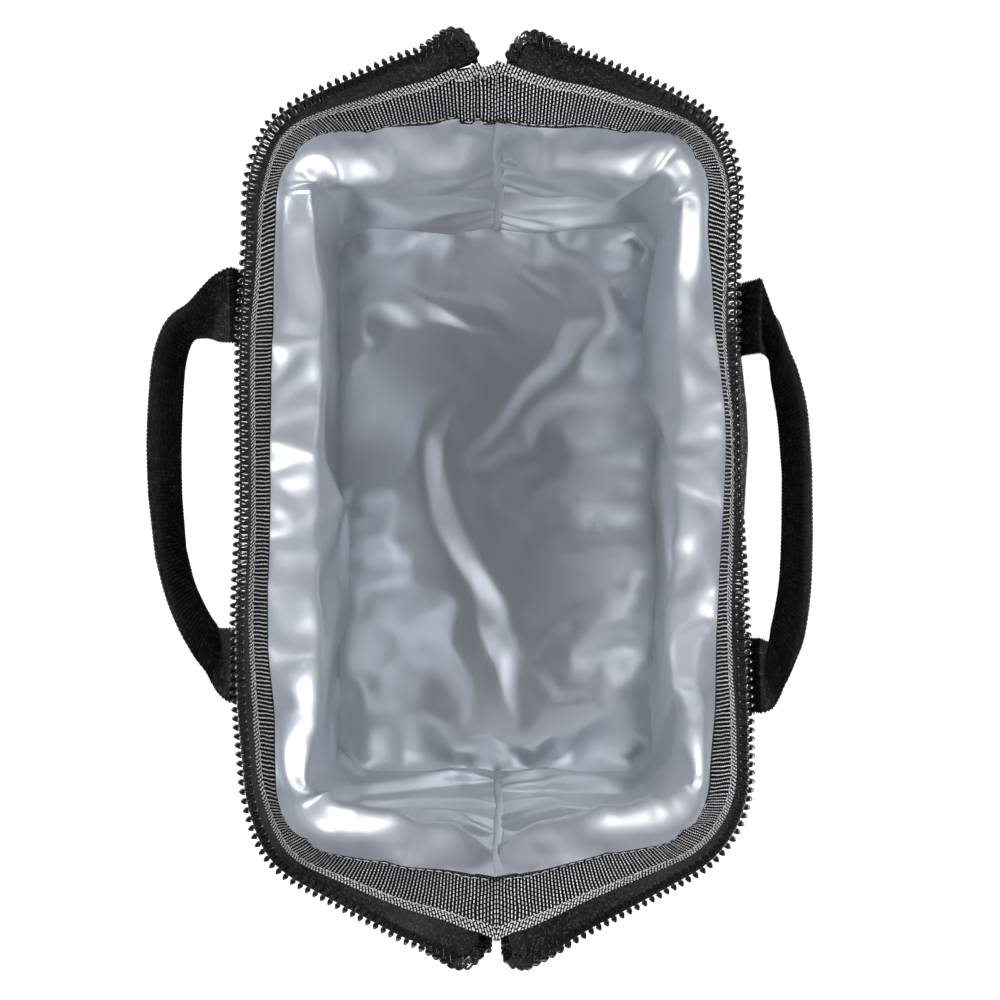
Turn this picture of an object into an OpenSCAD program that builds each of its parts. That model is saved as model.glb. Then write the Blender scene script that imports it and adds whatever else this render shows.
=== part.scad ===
// Soft insulated lunch bag with a wide zipped mouth, shown open.
// The long axis is X, the front is -Y, and the underside of the base is at z = 0.

/* [Bag] */
// Half of the inside length at the base
base_half_l = 123.5; // [100:0.5:150]
// Half of the inside width at the base
base_half_w = 72; // [55:0.5:90]
// Height of the fold line where the collar starts
fold_z = 172; // [140:1:220]
// Height of the tooth tips along the rim
rim_z = 199.5; // [165:0.5:260]
// Half of the inside length at the fold line
fold_half_l = 132.6; // [105:0.1:160]
// Half of the inside width at the fold line
fold_half_w = 77; // [57:0.5:95]
// Half of the length at the tooth tips
rim_half_l = 161.5; // [120:0.5:180]
// Half of the width at the tooth tips
rim_half_w = 86; // [62:0.5:105]

/* [Layers] */
// Thickness of the woven outer fabric
shell_t = 1.2; // [0.8:0.1:2]
// Thickness of the closed-cell foam
foam_t = 5; // [3:0.5:8]
// Thickness of the foil liner
liner_t = 0.4; // [0.3:0.1:1]
// Thickness of the stiffening board in the base
board_t = 2; // [1:0.5:3]
// How far the walls bulge outwards at half height
bulge = 2.5; // [0:0.5:6]

/* [Zip] */
// Distance from one tooth to the next
tooth_pitch = 2.9; // [2.5:0.1:3.5]
// Thickness of a tooth, through the tape
tooth_t = 2.4; // [2:0.1:3]
// Thickness of the zip tape
tape_t = 0.8; // [0.5:0.1:1]

/* [Handles] */
// Width of the handle webbing
web_w = 26; // [20:1:32]
// Thickness of the handle webbing
web_t = 2; // [1.5:0.1:2.5]
// Distance from the middle of a handle to each of its ends
handle_x = 61; // [50:1:70]
// How far the handles are sewn off the middle of the walls
handle_shift = 3.5; // [-10:0.5:10]
// How far the middle of each handle stands out from the long axis
loop_reach = 109.5; // [104:0.5:125]

/* [Hidden] */

// Colours
fabric_colour = [0.16, 0.16, 0.17];
foam_colour = [0.85, 0.85, 0.82];
foil_colour = [0.68, 0.71, 0.76];
binding_colour = [0.36, 0.36, 0.38];
zip_colour = [0.05, 0.05, 0.055];
tooth_colour = [0.02, 0.02, 0.02];
metal_colour = [0.12, 0.12, 0.13];

// Outline of the walls
base_corner_r = 16;
fold_corner_r = 25;
rim_corner_r = 38;
fold_slope = 0.177;
rim_slope = 0.57;
wall_t = shell_t + foam_t + liner_t;
wall_n = 5;
arc_n = 6;
end_n = 3;

// Heights of the base layers
foam_base_top = shell_t + foam_t;
board_top = foam_base_top + board_t;
floor_z = board_top + liner_t;

// Heights on the collar
liner_top = fold_z + 4;
foam_top = fold_z + 10;
shell_top = fold_z + 13;
binding_top = fold_z + 15;
binding_t = 1;
tape_bottom = foam_top;
tape_top = rim_z - 4;
collar_t = tape_t + shell_t;

function lerp(a, b, t) = a + (b - a) * t;
function up_wall(z) = max(0, (z - floor_z) / (fold_z - floor_z));
function up_collar(z) = (z - fold_z) / (rim_z - fold_z);

// Half width, half length, slope of the ends and corner radius of the inside face at a height
function level(z) = z <= fold_z
    ? let (s = up_wall(z)) [
        lerp(base_half_w, fold_half_w, s * s), lerp(base_half_l, fold_half_l, s * s),
        fold_slope * s * s, lerp(base_corner_r, fold_corner_r, s)]
    : let (c = up_collar(z)) [
        lerp(fold_half_w, rim_half_w, c), lerp(fold_half_l, rim_half_l, c),
        lerp(fold_slope, rim_slope, c), lerp(fold_corner_r, rim_corner_r, c)];

// The front outline's half on the +X side, from the middle of the wall round to the end seam
function half_outline(w, l, slope, r) =
    let (
        lean = atan(slope),
        centre = [l - slope * w - r / tan(45 + lean / 2), r - w],
        last = centre + r * [cos(lean), -sin(lean)]
    )
    concat(
        [for (i = [0 : wall_n - 1]) [centre.x * i / wall_n, -w]],
        [for (i = [0 : arc_n]) let (a = lerp(-90, -lean, i / arc_n)) centre + r * [cos(a), sin(a)]],
        [for (i = [1 : end_n]) lerp(last, [l, 0], i / end_n)]
    );

// The whole front outline at a height, a distance d outside the inside face, from -X seam to +X seam
function outline(z, d) =
    let (
        v = level(z),
        half = half_outline(v[0] + d, v[1] + d * sqrt(1 + v[2] * v[2]), v[2], v[3] + d),
        n = len(half) - 1
    )
    [for (i = [-n : n]) i < 0 ? [-half[-i].x, half[-i].y] : half[i]];

// Outside face of the walls, as a distance from the inside face
function outside(z) = z < 4 ? lerp(wall_t - 2, wall_t - 0.6, (z - shell_t) / (4 - shell_t))
    : z <= fold_z ? wall_t - 0.6 * max(0, 1 - (z - 4) / 6) + bulge * sin(180 * up_wall(z))
    : lerp(wall_t, collar_t, min(1, (z - fold_z) / (foam_top - fold_z)));

// A closed solid between two stacks of outlines, one pair for each height
module layer(heights, inner, outer) {
    n = len(inner[0]);
    rows = len(heights);
    points = concat(
        [for (j = [0 : rows - 1]) for (p = inner[j]) [p.x, p.y, heights[j]]],
        [for (j = [0 : rows - 1]) for (p = outer[j]) [p.x, p.y, heights[j]]]
    );
    far = rows * n;
    top = (rows - 1) * n;
    faces = concat(
        [for (j = [0 : rows - 2]) for (i = [0 : n - 2]) for (f = [
            [j * n + i, j * n + i + 1, (j + 1) * n + i + 1],
            [j * n + i, (j + 1) * n + i + 1, (j + 1) * n + i],
            [far + j * n + i, far + (j + 1) * n + i + 1, far + j * n + i + 1],
            [far + j * n + i, far + (j + 1) * n + i, far + (j + 1) * n + i + 1]]) f],
        [for (i = [0 : n - 2]) for (f = [
            [i, far + i + 1, i + 1], [i, far + i, far + i + 1],
            [top + i, top + i + 1, far + top + i + 1], [top + i, far + top + i + 1, far + top + i]]) f],
        [for (j = [0 : rows - 2]) for (f = [
            [j * n, (j + 1) * n, far + (j + 1) * n], [j * n, far + (j + 1) * n, far + j * n],
            [j * n + n - 1, far + (j + 1) * n + n - 1, (j + 1) * n + n - 1],
            [j * n + n - 1, far + j * n + n - 1, far + (j + 1) * n + n - 1]]) f]
    );
    polyhedron(points, faces, convexity = 6);
}

// A wall layer between two distances, each given for every height
module wall_layer(heights, inner_d, outer_d) {
    layer(
        heights,
        [for (j = [0 : len(heights) - 1]) outline(heights[j], inner_d[j])],
        [for (j = [0 : len(heights) - 1]) outline(heights[j], outer_d[j])]
    );
}

module back_side() {
    mirror([0, 1, 0]) children();
}

// A flat strip swept along stations, each a point on its middle and the direction of its width
module strip(width, thick, stations) {
    n = len(stations);
    rings = [for (i = [0 : n - 1])
        let (
            step = stations[min(n - 1, i + 1)][0] - stations[max(0, i - 1)][0],
            wide = stations[i][1] / norm(stations[i][1]),
            face = cross(step, wide) / norm(cross(step, wide))
        )
        [for (c = [[1, 1], [-1, 1], [-1, -1], [1, -1]])
            stations[i][0] + wide * c[0] * width / 2 + face * c[1] * thick / 2]];
    last = 4 * (n - 1);
    faces = concat(
        [[0, 1, 2], [0, 2, 3], [last + 2, last + 1, last], [last + 3, last + 2, last]],
        [for (i = [0 : n - 2]) for (k = [0 : 3]) for (f = [
            [4 * i + k, 4 * i + 4 + k, 4 * i + (k + 1) % 4],
            [4 * i + (k + 1) % 4, 4 * i + 4 + k, 4 * i + 4 + (k + 1) % 4]]) f]
    );
    polyhedron([for (ring = rings) for (p = ring) p], faces, convexity = 6);
}

// Base layers
module base_outline(d) {
    v = level(0);
    half = half_outline(v[0] + d, v[1] + d, 0, v[3] + d);
    n = len(half) - 1;
    right = concat(half, [for (i = [n - 1 : -1 : 0]) [half[i].x, -half[i].y]]);
    polygon(concat(right, [for (i = [len(right) - 1 : -1 : 0]) [-right[i].x, right[i].y]]));
}

module base_fabric() {
    color(fabric_colour) linear_extrude(shell_t) base_outline(outside(shell_t));
}

module base_foam() {
    color(foam_colour) translate([0, 0, shell_t]) linear_extrude(foam_t) base_outline(0);
}

module base_board() {
    color("black") translate([0, 0, foam_base_top]) linear_extrude(board_t) base_outline(-1);
}

module base_liner() {
    color(foil_colour) translate([0, 0, board_top]) linear_extrude(liner_t) base_outline(0);
}

// Walls
liner_heights = [floor_z, 40, 75, 110, 145, fold_z, liner_top];
foam_heights = concat([shell_t, 4], liner_heights, [foam_top]);
shell_heights = concat(foam_heights, [shell_top]);

module shell_wall() {
    color(fabric_colour) wall_layer(
        shell_heights, [for (z = shell_heights) outside(z) - shell_t], [for (z = shell_heights) outside(z)]);
}

module foam_wall() {
    color(foam_colour) wall_layer(
        foam_heights, [for (z = foam_heights) liner_t], [for (z = foam_heights) outside(z) - shell_t]);
}

module liner_wall() {
    color(foil_colour) wall_layer(
        liner_heights, [for (z = liner_heights) 0], [for (z = liner_heights) liner_t]);
}

// Tape over the liner's seam at the middle of an end
module end_seam() {
    seam_w = 7;
    seam_t = 0.5;
    seam_heights = [floor_z + 1, 60, 115, fold_z - 1];
    half_l = [for (z = seam_heights) level(z)[1] - 0.85];
    color(foil_colour) rotate([90, 0, 0]) linear_extrude(seam_w, center = true)
        polygon(concat(
            [for (j = [0 : len(half_l) - 1]) [half_l[j], seam_heights[j]]],
            [for (j = [len(half_l) - 1 : -1 : 0]) [half_l[j] - seam_t, seam_heights[j]]]
        ));
}

// Ribbed tape bound over the inside of the collar
binding_heights = [fold_z, liner_top, foam_top, shell_top, binding_top];

module binding_wall() {
    color(binding_colour) wall_layer(
        binding_heights, [for (z = binding_heights) -binding_t], [for (z = binding_heights) 0]);
}

// Zip
tape_heights = [tape_bottom, shell_top, binding_top, tape_top];
zip_gap = 13;
tooth_low = rim_z - 5.5;
rim_low = outline(tooth_low, tape_t / 2);
rim_high = outline(rim_z, tape_t / 2);
rim_last = len(rim_low) - 1;

// Distance along the rim at each of its points
function run(points, i = 0, total = 0) = i == len(points) - 1 ? [total]
    : concat([total], run(points, i + 1, total + norm(points[i + 1] - points[i])));

rim_run = run(rim_low);
rim_place = [for (i = [0 : rim_last]) [rim_run[i], i]];
function rim_at(points, q) = [
    lookup(q, [for (i = [0 : rim_last]) [i, points[i].x]]),
    lookup(q, [for (i = [0 : rim_last]) [i, points[i].y]])];

chain_start = zip_gap / cos(atan(rim_slope));
chain_end = rim_run[rim_last] - chain_start;
chain_count = floor((chain_end - chain_start) / tooth_pitch);

// Tail of the zip, which hangs outside the -X end and carries the slider
tail_x = 150.8;
tail_top = 188;
tail_bottom = 149;
tail_gap = 1.1;
tooth_leg = 1.6;
tooth_head = 2.8;
tail_root = tail_gap + tooth_head;
tape_strip_w = 5;
tape_grip = 0.5;
tape_below = 5;
stop_size = [2.4, 2.2, 2.6];

// Turns that carry each chain over the end of the rim: edge of the tape and the way its teeth point
start_x = rim_low[rim_last].x - zip_gap * rim_slope * 0.86;
top_turn = [
    [[start_x, -zip_gap, tooth_low], [0.65, 0, 0.75]],
    [[start_x + 4.2, -zip_gap + 2.2, tooth_low - 0.2], [0.55, 0.35, 0.75]],
    [[start_x + 4.2, -zip_gap + 5.4, tooth_low - 1.4], [0.3, 0.55, 0.78]],
    [[start_x + 1.6, -zip_gap + 7.6, tooth_low - 3.2], [0.1, 0.7, 0.7]],
    [[start_x - 1.2, -zip_gap + 8.8, tooth_low - 5.2], [0, 0.8, 0.6]]
];
tail_turn = [
    [[-start_x, -zip_gap, tooth_low], [-0.65, 0, 0.75]],
    [[-start_x - 4.2, -zip_gap + 2.2, tooth_low], [-0.5, 0.3, 0.8]],
    [[-start_x - 3.6, -zip_gap + 5.4, tooth_low - 0.9], [-0.3, 0.6, 0.7]],
    [[-tail_x, -zip_gap + 7.8, tooth_low - 2.6], [-0.1, 0.85, 0.5]],
    [[-tail_x, -tail_root, tail_top], [0, 1, 0]]
];

// One moulded tooth: it clamps the tape's edge and its pointed head stands past it
module tooth() {
    w = tooth_pitch * 0.26;
    linear_extrude(tooth_t, center = true)
        polygon([
            [-w, -tooth_leg], [w, -tooth_leg], [w, 0.5], [w * 1.5, 1.5],
            [w * 0.8, tooth_head], [-w * 0.8, tooth_head], [-w * 1.5, 1.5], [-w, 0.5]]);
}

// Stands children on a point, with their Y towards up and their X along the chain
module on_chain(p, along, up) {
    n = cross(along, up) / norm(cross(along, up));
    a = cross(up, n) / norm(cross(up, n));
    u = up / norm(up);
    multmatrix([
        [a.x, u.x, n.x, p.x], [a.y, u.y, n.y, p.y], [a.z, u.z, n.z, p.z], [0, 0, 0, 1]]) children();
}

module rim_tooth(s) {
    q = lookup(s, rim_place);
    low = rim_at(rim_low, q);
    high = rim_at(rim_high, q);
    next = rim_at(rim_low, lookup(s + 1, rim_place));
    rise = rim_z - tooth_low;
    up = [high.x - low.x, high.y - low.y, rise];
    base = [low.x, low.y, tooth_low];
    on_chain(base + up * 0.4, [next.x - low.x, next.y - low.y, 0], up) tooth();
}

module zip_teeth() {
    color(tooth_colour) {
        for (i = [0 : chain_count]) rim_tooth(chain_start + i * tooth_pitch);
        for (turn = [top_turn, tail_turn]) for (i = [1 : 3])
            on_chain(turn[i][0], turn[i + 1][0] - turn[i - 1][0], turn[i][1]) tooth();
        for (z = [tail_bottom + 4 : tooth_pitch : tail_top])
            on_chain([-tail_x, -tail_root, z], [0, 0, 1], [0, 1, 0]) tooth();
    }
}

module zip_tape() {
    color(zip_colour) {
        intersection() {
            wall_layer(tape_heights, [for (z = tape_heights) 0], [for (z = tape_heights) tape_t]);
            translate([-200, -150 - zip_gap, tape_bottom - 1]) cube([400, 150, rim_z]);
        }
        for (turn = [top_turn, tail_turn]) strip(tape_strip_w, tape_t, [for (k = turn)
            [k[0] - k[1] / norm(k[1]) * (tape_strip_w / 2 - tape_grip), k[1]]]);
        translate([-tail_x - tape_t / 2, -tail_root - tape_strip_w + tape_grip, tail_bottom - tape_below])
            cube([tape_t, tape_strip_w, tail_top - tail_bottom + tape_below]);
    }
}

// A pair of stops that end the chain at the closing end
module zip_top_stops() {
    color(tooth_colour) for (side = [-1, 1])
        translate([start_x - 1.4, side * (zip_gap - 8.8), tooth_low - 6.2]) cube(stop_size, center = true);
}

// The stop that joins both chains below the slider
module zip_bottom_stop() {
    color(tooth_colour) translate([-tail_x, 0, tail_bottom + 0.6]) difference() {
        cube([tooth_t + 0.6, 2 * tail_root, 2.8], center = true);
        for (side = [-1, 1]) translate([0, side * tail_root, 0]) cube([1, 2.4, 4], center = true);
    }
}

// Folded fabric tab that covers the cut end of the zip
module zip_tail_tab() {
    tab_w = 16;
    tab_h = 16;
    color(zip_colour) translate([-tail_x, 0, tail_bottom - tab_h / 2 - 0.9])
        rotate([0, 90, 0]) linear_extrude(2.6, center = true)
            offset(r = 2, $fn = 16) square([tab_h - 4, tab_w - 4], center = true);
}

// Slider: two plates held apart by a wedge, with guides at both edges
slider_h = 11;
slider_w = 13.4;
slider_gap = 2.9;
plate_t = 1.2;
slider_low = tail_bottom + 2.6;
slider_mid = slider_low + slider_h / 2;

module slider_plate() {
    shoulder = slider_w / 2;
    foot = shoulder - 0.6;
    polygon([
        [-foot, -slider_h / 2], [foot, -slider_h / 2], [shoulder, 0], [shoulder, slider_h / 2 - 2],
        [shoulder - 1.6, slider_h / 2], [-shoulder + 1.6, slider_h / 2], [-shoulder, slider_h / 2 - 2],
        [-shoulder, 0]]);
}

module slider_body() {
    guide_t = 0.8;
    guide_d = 0.9;
    color(metal_colour) translate([-tail_x, 0, slider_mid]) rotate([90, 0, -90]) {
        for (side = [-1, 1]) {
            translate([0, 0, side * (slider_gap + plate_t) / 2])
                linear_extrude(plate_t, center = true) slider_plate();
            for (edge = [-1, 1])
                translate([edge * (slider_w / 2 - 0.6), -0.5, side * (slider_gap / 2 - guide_d / 2 + 0.05)])
                    cube([guide_t, slider_h - 3, guide_d], center = true);
        }
        translate([0, slider_h / 2 - 1.8, 0]) linear_extrude(slider_gap + 0.2, center = true)
            polygon([[-0.8, 1.8], [0.8, 1.8], [0.5, -1.4], [-0.5, -1.4]]);
    }
}

// Raised loop on the outer plate that carries the pull tab
plate_out = tail_x + slider_gap / 2 + plate_t;
bridge_rise = 3.6;
bridge_h = 7;
bridge_w = 2.4;
bridge_mid = slider_mid - 0.2;
pin_r = 0.75;
pin_x = -(plate_out + 1.75);
pin_z = bridge_mid - 1.4;

module slider_bridge() {
    color(metal_colour) translate([-plate_out, 0, bridge_mid]) rotate([90, 0, 0])
        linear_extrude(bridge_w, center = true) difference() {
            translate([-bridge_rise, -bridge_h / 2]) square([bridge_rise, bridge_h]);
            translate([-bridge_rise + 0.9, -bridge_h / 2 + 1.1]) square([bridge_rise - 0.9, bridge_h - 2.2]);
        }
}

// Flat pull tab: its round top bar runs under the loop, and its eye takes the loop's foot
module pull_tab() {
    tab_l = 25;
    tab_r = 4.2;
    eye_w = 3.1;
    eye_l = 5.6;
    color(metal_colour) translate([pin_x, 0, pin_z]) {
        rotate([90, 0, 0]) cylinder(r = pin_r, h = 2 * tab_r, center = true, $fn = 32);
        rotate([90, 0, -90]) linear_extrude(2 * pin_r, center = true) difference() {
            union() {
                translate([-tab_r, -tab_l]) square([2 * tab_r, tab_l]);
                translate([0, -tab_l]) circle(r = tab_r, $fn = 32);
            }
            translate([-eye_w / 2, -eye_l]) square([eye_w, eye_l]);
            translate([0, -tab_l]) circle(r = 1.8, $fn = 32);
        }
    }
}

// Handles
handle_root_y = 98;
handle_root_z = 184;
loop_y = handle_root_y + 1.6;
end_gap = 0.9;

// Half of the loop: how far along it is, how far out, how far down, and which way its width points
loop_shape = [
    [0, 0, 0, [1, 0, 0]],
    [-0.2, 0.1, -0.5, [19, -0.8, 2]],
    [-1.2, 0.3, -2, [17, -4, 9]],
    [-4, 0.5, -4.5, [10, -8.4, 16]],
    [-9, 0.66, -7, [4, -9, 17.6]],
    [-17, 0.8, -9.3, [1.2, -8.4, 18]],
    [-30, 0.92, -11, [0, -8, 18.4]],
    [-45, 0.98, -11.8, [0, -8, 18.4]],
    [-handle_x, 1, -12, [0, -8, 18.4]]
];
half_loop = [for (k = loop_shape)
    [[handle_x + k[0], -lerp(loop_y, loop_reach, k[1]), handle_root_z + k[2]], k[3]]];
loop_last = len(half_loop) - 1;
whole_loop = [for (i = [-loop_last : loop_last]) let (k = half_loop[loop_last - abs(i)])
    i > 0 ? [[-k[0].x, k[0].y, k[0].z], [-k[1].x, k[1].y, k[1].z]] : k];

module handle_strap() {
    color(zip_colour) translate([handle_shift, 0, 0]) strip(web_w, web_t, whole_loop);
}

// The sewn end of a handle: flat on the wall, then bent out to the loop
module handle_end(side) {
    foot = [for (z = [132, 145, 160, fold_z]) [level(z)[0] + outside(z) + 0.15, z]];
    bend = [
        [level(fold_z)[0] + outside(fold_z) + 1.2, handle_root_z - 5.5],
        [handle_root_y - 9.5, handle_root_z - 2.4],
        [handle_root_y - 6, handle_root_z - 0.9],
        [handle_root_y - end_gap, handle_root_z + web_t / 2]];
    inner = concat(foot, bend);
    outer = [for (i = [0 : len(inner) - 1])
        let (
            d = inner[min(i + 1, len(inner) - 1)] - inner[max(i - 1, 0)],
            n = [d.y, -d.x] / norm(d)
        )
        inner[i] + n * web_t];
    color(zip_colour) translate([handle_shift + side * handle_x, 0, 0]) rotate([90, 0, -90])
        linear_extrude(web_w, center = true)
            polygon(concat(inner, [for (i = [len(outer) - 1 : -1 : 0]) outer[i]]));
}

base_fabric();
base_foam();
base_board();
base_liner();
shell_wall();  // shell_front
back_side() shell_wall();  // shell_back
foam_wall();  // foam_front
back_side() foam_wall();  // foam_back
liner_wall();  // liner_front
back_side() liner_wall();  // liner_back
mirror([1, 0, 0]) end_seam();  // end_seam_left
end_seam();  // end_seam_right
binding_wall();  // binding_front
back_side() binding_wall();  // binding_back
zip_tape();  // zip_tape_front
back_side() zip_tape();  // zip_tape_back
zip_teeth();  // zip_teeth_front
back_side() zip_teeth();  // zip_teeth_back
zip_top_stops();
zip_bottom_stop();
zip_tail_tab();
slider_body();
slider_bridge();
pull_tab();
handle_strap();  // handle_strap_front
back_side() handle_strap();  // handle_strap_back
handle_end(-1);  // handle_end_front_left
handle_end(1);  // handle_end_front_right
back_side() handle_end(-1);  // handle_end_back_left
back_side() handle_end(1);  // handle_end_back_right
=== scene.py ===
"""Soft insulated lunch bag, standing wide open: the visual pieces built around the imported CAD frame."""

import logging
import math
from dataclasses import dataclass
from enum import Enum
from typing import Callable, Sequence

import bpy
import numpy as np
from mathutils import Matrix, Vector


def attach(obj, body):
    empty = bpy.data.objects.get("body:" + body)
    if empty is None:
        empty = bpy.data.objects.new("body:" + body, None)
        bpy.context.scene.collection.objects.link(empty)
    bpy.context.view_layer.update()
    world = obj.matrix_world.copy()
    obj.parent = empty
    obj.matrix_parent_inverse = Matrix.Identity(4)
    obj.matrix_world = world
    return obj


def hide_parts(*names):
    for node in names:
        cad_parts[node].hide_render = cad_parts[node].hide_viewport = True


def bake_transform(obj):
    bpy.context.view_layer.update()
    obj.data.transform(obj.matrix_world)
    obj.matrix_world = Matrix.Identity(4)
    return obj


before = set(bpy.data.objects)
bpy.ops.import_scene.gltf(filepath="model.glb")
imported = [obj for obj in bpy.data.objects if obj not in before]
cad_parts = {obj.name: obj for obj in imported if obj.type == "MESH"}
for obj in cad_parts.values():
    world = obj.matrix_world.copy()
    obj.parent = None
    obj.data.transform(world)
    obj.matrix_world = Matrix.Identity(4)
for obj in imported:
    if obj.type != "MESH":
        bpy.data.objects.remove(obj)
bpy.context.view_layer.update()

MM = 0.001
# Place of the end seams round the outline, counted from the middle of a long wall
SEAM = 185.0
Array = np.ndarray
Row = tuple[float, ...]
Object = bpy.types.Object
Material = bpy.types.Material
Node = bpy.types.Node
Socket = bpy.types.NodeSocket
Tree = bpy.types.NodeTree
log = logging.getLogger("lunch_bag")


class Side(Enum):
    """The two sewn halves of the bag."""

    FRONT = "front"
    BACK = "back"

    @property
    def mirror(self) -> float:
        """Factor on Y that carries the front half onto this one."""
        return 1.0 if self is Side.FRONT else -1.0


def hand(end: int) -> str:
    """Name of an end: 1 is the right one, towards +X, and -1 the left one."""
    return "right" if end > 0 else "left"


# ---------------------------------------------------------------- mesh helpers


def deselect() -> None:
    """Leave edit mode and select nothing."""
    if bpy.context.object and bpy.context.object.mode != "OBJECT":
        bpy.ops.object.mode_set(mode="OBJECT")
    bpy.ops.object.select_all(action="DESELECT")


def activate(obj: Object) -> None:
    """Select only this object and make it the active one."""
    deselect()
    obj.select_set(True)
    bpy.context.view_layer.objects.active = obj


def bake(obj: Object, kind: str, **settings: object) -> None:
    """Add a modifier and apply it.

    Args:
        obj: Object that takes the modifier.
        kind: Blender's modifier type.
        settings: Values for the modifier.
    """
    activate(obj)
    modifier = obj.modifiers.new(kind.title(), kind)
    for key, value in settings.items():
        setattr(modifier, key, value)
    bpy.ops.object.modifier_apply(modifier=modifier.name)


def edit(obj: Object, *steps: Callable[[], object], select: str = "SELECT") -> None:
    """Run operators on the whole mesh in edit mode.

    Args:
        obj: Object to edit.
        steps: Calls of bpy.ops, in order.
        select: Action for select_all before the first step.
    """
    activate(obj)
    bpy.ops.object.mode_set(mode="EDIT")
    bpy.ops.mesh.select_mode(type="VERT")
    bpy.ops.mesh.select_all(action=select)
    for step in steps:
        step()
    bpy.ops.object.mode_set(mode="OBJECT")


def close_up(obj: Object, capped: bool = True) -> None:
    """Close the seam of a rolled grid, cap its open ends if asked and point its faces outwards."""
    edit(obj, lambda: bpy.ops.mesh.remove_doubles(threshold=0.00001))
    if capped:
        edit(obj, bpy.ops.mesh.select_non_manifold, bpy.ops.mesh.fill, select="DESELECT")
    edit(obj, lambda: bpy.ops.mesh.normals_make_consistent(inside=False))


def new_object(name: str, data: bpy.types.ID) -> Object:
    """A new object in the scene for a mesh, lamp or camera."""
    obj = bpy.data.objects.new(name, data)
    bpy.context.collection.objects.link(obj)
    return obj


def block(size: Row, place: Row = (0, 0, 0)) -> Object:
    """A box of a size at a place, both in millimetres."""
    deselect()
    bpy.ops.mesh.primitive_cube_add(size=1, location=Vector(place) * MM, scale=Vector(size) * MM)
    bpy.ops.object.transform_apply(location=True, rotation=True, scale=True)
    return bpy.context.object


def soften(obj: Object, width: float, segments: int = 2) -> None:
    """Round off the edges of a mesh, by a width in millimetres."""
    sharp = math.radians(35)
    bake(obj, "BEVEL", width=width * MM, segments=segments, limit_method="ANGLE", angle_limit=sharp)


def set_points(obj: Object, points: Array) -> None:
    """Move every vertex to a row of a table in millimetres."""
    obj.data.vertices.foreach_set("co", (points * MM).ravel())
    obj.data.update()


def get_points(obj: Object) -> Array:
    """Where every vertex is, in millimetres."""
    flat = np.zeros(len(obj.data.vertices) * 3)
    obj.data.vertices.foreach_get("co", flat)
    return flat.reshape(-1, 3) / MM


def cloth_grid(name: str, points: Array, uv: Array, turned: bool = False) -> Object:
    """Lay a grid primitive over a table of points.

    Args:
        name: Name of the new object.
        points: Rows by columns by 3, in millimetres.
        uv: Rows by columns by 2, in millimetres along and across the cloth.
        turned: True where the faces have to be flipped to point outwards.

    Returns:
        The new object, with its place in its mesh.
    """
    rows, columns = points.shape[:2]
    deselect()
    bpy.ops.mesh.primitive_grid_add(x_subdivisions=columns - 1, y_subdivisions=rows - 1, size=1)
    obj = bpy.context.object
    obj.name = obj.data.name = name
    mesh = obj.data
    set_points(obj, points.reshape(-1, 3))
    loops = np.zeros(len(mesh.loops), int)
    mesh.loops.foreach_get("vertex_index", loops)
    mesh.uv_layers[0].data.foreach_set("uv", (uv.reshape(-1, 2)[loops] * MM).ravel())
    if turned:
        edit(obj, bpy.ops.mesh.flip_normals)
    smooth(obj)
    return obj


def smooth(obj: Object, angle: float = 40.0) -> None:
    """Shade a mesh smooth across edges flatter than an angle in degrees."""
    activate(obj)
    bpy.ops.object.shade_smooth_by_angle(angle=math.radians(angle), keep_sharp_edges=False)


def thicken(obj: Object, thickness: float, offset: float = -1.0) -> None:
    """Give a sheet its thickness in millimetres: offset -1 is inwards from its face, 0 half to each side."""
    bake(obj, "SOLIDIFY", thickness=thickness * MM, offset=offset, use_rim=True)


def buckle(obj: Object, held: Array, growth: float, steps: int, bending: float) -> Array:
    """Let a film that is cut larger than its place buckle into folds, with its edges held.

    Args:
        obj: The film.
        held: True for each vertex that is sewn down.
        growth: How much larger the film is than its place, as a fraction.
        steps: Frames of the simulation.
        bending: Stiffness against bending.

    Returns:
        Where its vertices end, in millimetres.
    """
    obj.data.transform(Matrix.Scale(10, 4))
    group = obj.vertex_groups.new(name="sewn")
    group.add(np.flatnonzero(held).tolist(), 1.0, "REPLACE")
    activate(obj)
    modifier = obj.modifiers.new("Cloth", "CLOTH")
    film = modifier.settings
    film.quality, film.mass = 6, 0.12
    film.tension_stiffness = film.compression_stiffness = 25.0
    film.shear_stiffness, film.bending_stiffness = 14.0, bending
    film.tension_damping = film.compression_damping = film.shear_damping = 12.0
    film.air_damping = 2.5
    film.vertex_group_mass = group.name
    film.shrink_min = -growth
    film.effector_weights.gravity = 0.0
    modifier.collision_settings.use_collision = False
    modifier.point_cache.frame_start, modifier.point_cache.frame_end = 1, steps
    for frame_number in range(1, steps + 1):
        bpy.context.scene.frame_set(frame_number)
    bpy.ops.object.modifier_apply(modifier=modifier.name)
    bpy.context.scene.frame_set(1)
    obj.data.transform(Matrix.Scale(0.1, 4))
    return get_points(obj)


def copies(name: str, model: Object, places: Array) -> Object:
    """Copy one modelled shape to many places as a single mesh.

    Args:
        name: Name of the new object.
        model: The shape, in metres about its own origin. It is removed afterwards.
        places: Number of copies by 3 by 4: axes in columns, then the place in millimetres.

    Returns:
        The joined copies.
    """
    mesh = model.data
    points = np.array([v.co for v in mesh.vertices])
    faces = [tuple(p.vertices) for p in mesh.polygons]
    count = len(points)
    moved = np.einsum("nij,kj->nki", places[:, :, :3], points) + places[:, None, :, 3] * MM
    every = [tuple(i + n * count for i in face) for n in range(len(places)) for face in faces]
    joined = bpy.data.meshes.new(name)
    joined.from_pydata(moved.reshape(-1, 3).tolist(), [], every)
    obj = new_object(name, joined)
    bpy.data.objects.remove(model)
    smooth(obj, 50)
    return obj


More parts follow.
